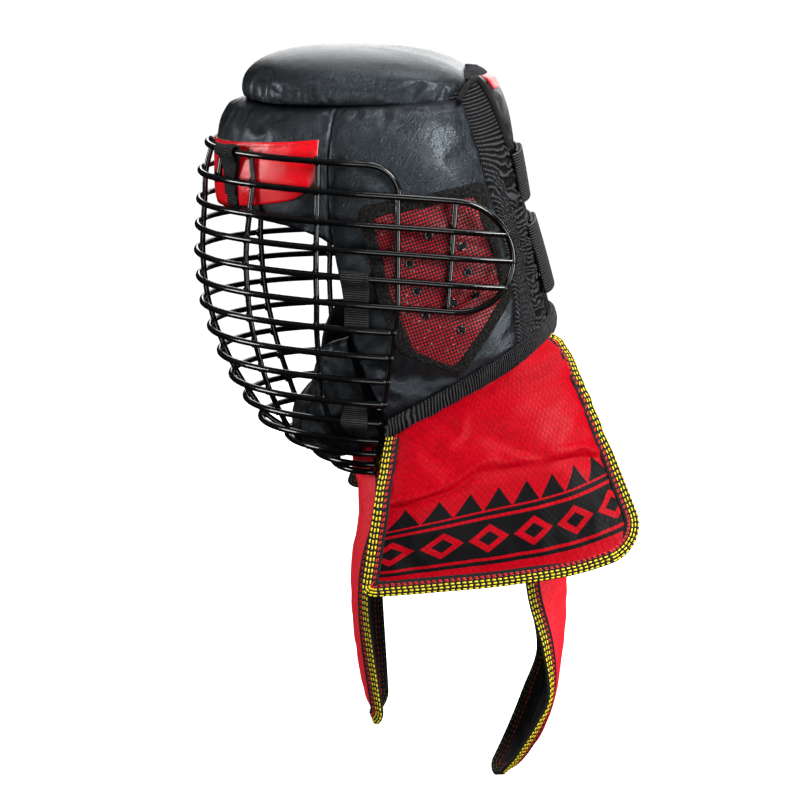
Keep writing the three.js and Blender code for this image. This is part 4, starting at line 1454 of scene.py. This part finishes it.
def sideFlapSurface(side, backX, flare, hemPoints):
    hemRows = counted(hemPoints)
    flapLast = turnAtX(backX, neck["z"] + 70)

    def surface(u, v):
        turn = lerp(flapFirst, flapLast, u)
        top = shellPoint(turn, neckZ(turn) + sideFlap["topZ"], sideFlap["topDepth"])
        point = top.lerp(Vector(through(hemRows, u)), v)
        crease = through(sideFlap["crease"], u)[0]
        off = (v - crease) / (crease if v < crease else 1 - crease)
        bulge = lerp(*sideFlap["ridge"], smooth(u, 0.5, 1)) * (1 - math.sqrt(off * off + 0.0008)) * 1.02
        sharp = smooth(u, 0.02, 0.1) * (1 - smooth(u, 0.86, 0.98)) * (1 - 0.6 * hump(u - 0.62, 0.07))
        bulge += sideFlap["crest"] * sharp * hump(off, 0.035)
        bulge -= sideFlap["groove"] * sharp * hump(off - 0.085, 0.045)
        foldY, foldZ, acrossY, acrossZ = sideFlap["fold"]
        across = (point.y - foldY) * acrossY + (point.z - foldZ) * acrossZ
        along = (point.y - foldY) * acrossZ - (point.z - foldZ) * acrossY
        held = smooth(along, -12, 10) * (1 - smooth(along, 40, 75)) * (1 - smooth(off, -0.3, 0))
        bulge += (sideFlap["foldRidge"] * hump(across, 8) - sideFlap["foldDip"] * hump(across + 19, 9)) * held
        drawn = Vector((across * 1.6, along * 0.35, side * 30))
        wrinkle = noise.noise(drawn / 14) * sideFlap["wrinkle"]
        bulge += wrinkle * smooth(v, 0.05, 0.2) * (1 - smooth(off, -0.25, 0))
        out = (shellPoint(turn, neck["z"], -1) - shellPoint(turn, neck["z"])).normalized()
        point += out * bulge * smooth(v, 0.08, 0.17)
        point.x += flare * smooth(u, 0.4, 1) * smooth(v, 0.07, 0.28) * (1 - smooth(v, 0.35, 1))
        point.y += flare * 0.4 * smooth(u, 0.55, 1) * smooth(v, 0.05, 0.1) * (1 - smooth(v, 0.15, 0.6))
        return sided(side, point)

    def outward(u):
        turn = lerp(flapFirst, flapLast, u)
        return sided(side, shellPoint(turn, neck["z"], -1) - shellPoint(turn, neck["z"]))

    return surface, outward


def toCrease(u, v):  # rows that crowd along the crease
    crease = through(sideFlap["crease"], u)[0]
    if v < 0.5:
        return crease * (1 - (1 - 2 * v) ** 1.5)
    return crease + (1 - crease) * (2 * v - 1) ** 1.5


def toHem(u, v):  # rows that crowd toward the hem
    return lerp(v, math.sin(v * math.pi / 2), 0.7)


def hungSurface(table):
    def surface(u, v):
        z, half, middle, left, right, drop, rise, curl = through(table, v)
        share = 2 * u - 1
        edge = left if share > 0 else right
        bend = lerp(share ** 2, share ** 6, curl)
        return Vector((half * share, lerp(middle, edge, bend), z - drop * share ** 2 + rise * share))

    return surface


dashModels = {"yellow": capsule("dash", 3.15, 1.45, 0.9), "redThread": capsule("red_dash", 3.1, 1.05, 0.7),
              "shadedYellowThread": capsule("inner_dash", 2.6, 0.8, 0.5)}


def makeFlap(node, surface, outward, spaced, columns, rows, corners, cloth):
    wide = sum((surface(i / 20 + 0.05, 0.8) - surface(i / 20, 0.8)).length for i in range(20))
    high = sum((surface(0.5, i / 20 + 0.05) - surface(0.5, i / 20)).length for i in range(20))

    def trim(radius, v):
        low = clamp((v * high - high + radius) / radius)
        return radius / wide * (1 - math.sqrt(1 - low ** 2))

    def spread(u, v):
        return surface(lerp(trim(corners[0], v), 1 - trim(corners[1], v), u), v)

    def facing(u, v):
        a, b = clamp(u, 0.01, 0.99), clamp(v, 0.01, 0.99)
        across = surface(a + 0.01, b) - surface(a - 0.01, b)
        down = surface(a, b + 0.01) - surface(a, b - 0.01)
        normal = across.cross(down).normalized()
        return -normal if normal.dot(outward(u)) < 0 else normal

    def fromEdge(u, v):
        return min(u * wide, (1 - u) * wide, (1 - v) * high, v * high + 6)

    def loose(u, v, w):
        u = crowd(u, 0.5)
        if w not in (0.0, 1.0):
            return 0.0
        return smooth(fromEdge(u, spaced(u, v)), flap["tapeIn"] + 1, flap["tapeIn"] + 16)

    def place(u, v, w):
        u = crowd(u, 0.5)
        v = spaced(u, v)
        spot = spread(u, v)
        inside = smooth(fromEdge(u, v), flap["tapeIn"] - 1, flap["tapeIn"] + 9)
        half = lerp(flap["edge"], flap["thick"] / 2, inside)
        wave = (ripple(*spot, 40) * 0.9 + ripple(*spot, 15) * 0.35) * inside
        return spot + facing(u, v) * lerp(half + wave, wave - half * 0.9, w)

    body = block(node + "_padding", columns, rows, 2)
    shares = layBlock(body, place, lambda u, v: ((crowd(u, 0.5) - 0.5) * wide,
                                                 (1 - spaced(crowd(u, 0.5), v)) * high))
    dress(body, cloth, "flapLining", cloth)
    settle(body, [loose(*share) for share in shares], pressure=0.6, growth=0.012, bend=0.6, cap=2.5)
    alter(body, "SUBSURF", levels=1, render_levels=1)
    seat(body, "flap_cloth", node)

    # The free edge as a line of points with the two directions across it
    steps = [i / 60 for i in range(61)]
    path = [(0, toHem(0, t)) for t in steps] + [(t, 1) for t in steps[1:-1]]
    path += [(1, toHem(1, 1 - t)) for t in steps]
    rough = [spread(u, v) for u, v in path]
    passed = [0.0]
    for a, b in zip(rough, rough[1:]):
        passed.append(passed[-1] + (b - a).length)
    table = [(at + i * 1e-6, u, v) for i, (at, (u, v)) in enumerate(zip(passed, path))]
    centre = spread(0.5, 0.5)
    length = passed[-1]

    def edgeFrame(run):
        u, v = [clamp(n) for n in through(table, run)]
        before = [clamp(n) for n in through(table, run - 1.5)]
        after = [clamp(n) for n in through(table, run + 1.5)]
        spot = spread(u, v)
        ahead = (spread(*after) - spread(*before)).normalized()
        normal = facing(u, v)
        away = ahead.cross(normal).normalized()
        if away.dot(spot - centre) < 0:
            away = -away
        return spot, ahead, normal, away

    count = round(length / 2.2)
    frames = [edgeFrame(length * i / count) for i in range(count + 1)]
    quarter = math.pi / 2 * flap["round"]
    half = flap["tapeIn"] + flap["tapeOut"] - flap["round"] + quarter

    def section(d):  # d in mm from the middle of the edge, above 0 on the outer face
        bend = clamp(abs(d) / quarter) * math.pi / 2
        away, up = math.cos(bend), math.copysign(math.sin(bend), d)
        flat = max(0, abs(d) - quarter)
        return flap["tapeOut"] - flap["round"] * (1 - away) - flat, flap["round"] * up, away, up

    def tapePlace(u, v):
        spot, ahead, normal, away = frames[min(count, round(u * count))]
        a, b = section(lerp(half, -half, v))[:2]
        return spot + away * a + normal * b

    def tapeOut(spot):
        nearest = min(frames[::6], key=lambda f: (f[0] - spot).length)
        return spot - nearest[0] + nearest[3] * 4

    tape = sheet(node + "_binding", count, 12, tapePlace, flap["tapeThick"], tapeOut,
                 lambda u, v: (u * length, v * half * 2))
    fit(tape, "tape", "edge_tape", node + "_tape")
    spots = {"yellow": [], "redThread": [], "shadedYellowThread": []}
    dashes = round(length / flap["pitch"])
    for i in range(dashes):
        for face, stitchRows in ((1, flap["rows"]), (-1, flap["inside"])):
            for k, (d, colour) in enumerate(stitchRows):
                spot, ahead, normal, away = edgeFrame(length * (i + 0.5 + 0.12 * (k % 2)) / dashes)
                a, b, outA, outB = section(d * face)
                spots[colour].append(facingMatrix((spot + away * a + normal * b) * mm, ahead,
                                                  away * outA + normal * outB))
    for colour, word in (("yellow", "yellow"), ("redThread", "red"), ("shadedYellowThread", "inner")):
        dashesPiece = copies(node + "_dashes_" + word, dashModels[colour], spots[colour])
        fit(dashesPiece, colour, "edge_tape")
    print(node, "made, edge", round(length), "mm, cut", round(wide), "by", round(high), "mm")


for name, settings in hems.items():
    makeFlap("side_flap_" + name, *sideFlapSurface(*settings), toCrease, 54, 52, (12, 30), "cloth")
hung = (("front_flap", frontRows, -1, 54, 14), ("back_flap", backRows, 1, 70, 15))
for node, table, ahead, rowCount, corner in hung:
    makeFlap(node, hungSurface(table), lambda u: Vector((0, ahead, 0)), toHem, 30, rowCount,
             (corner, corner), "litPlainCloth")
for model in (stitchModel, *dashModels.values()):
    bpy.data.objects.remove(model)
print("flaps made")

deselect()
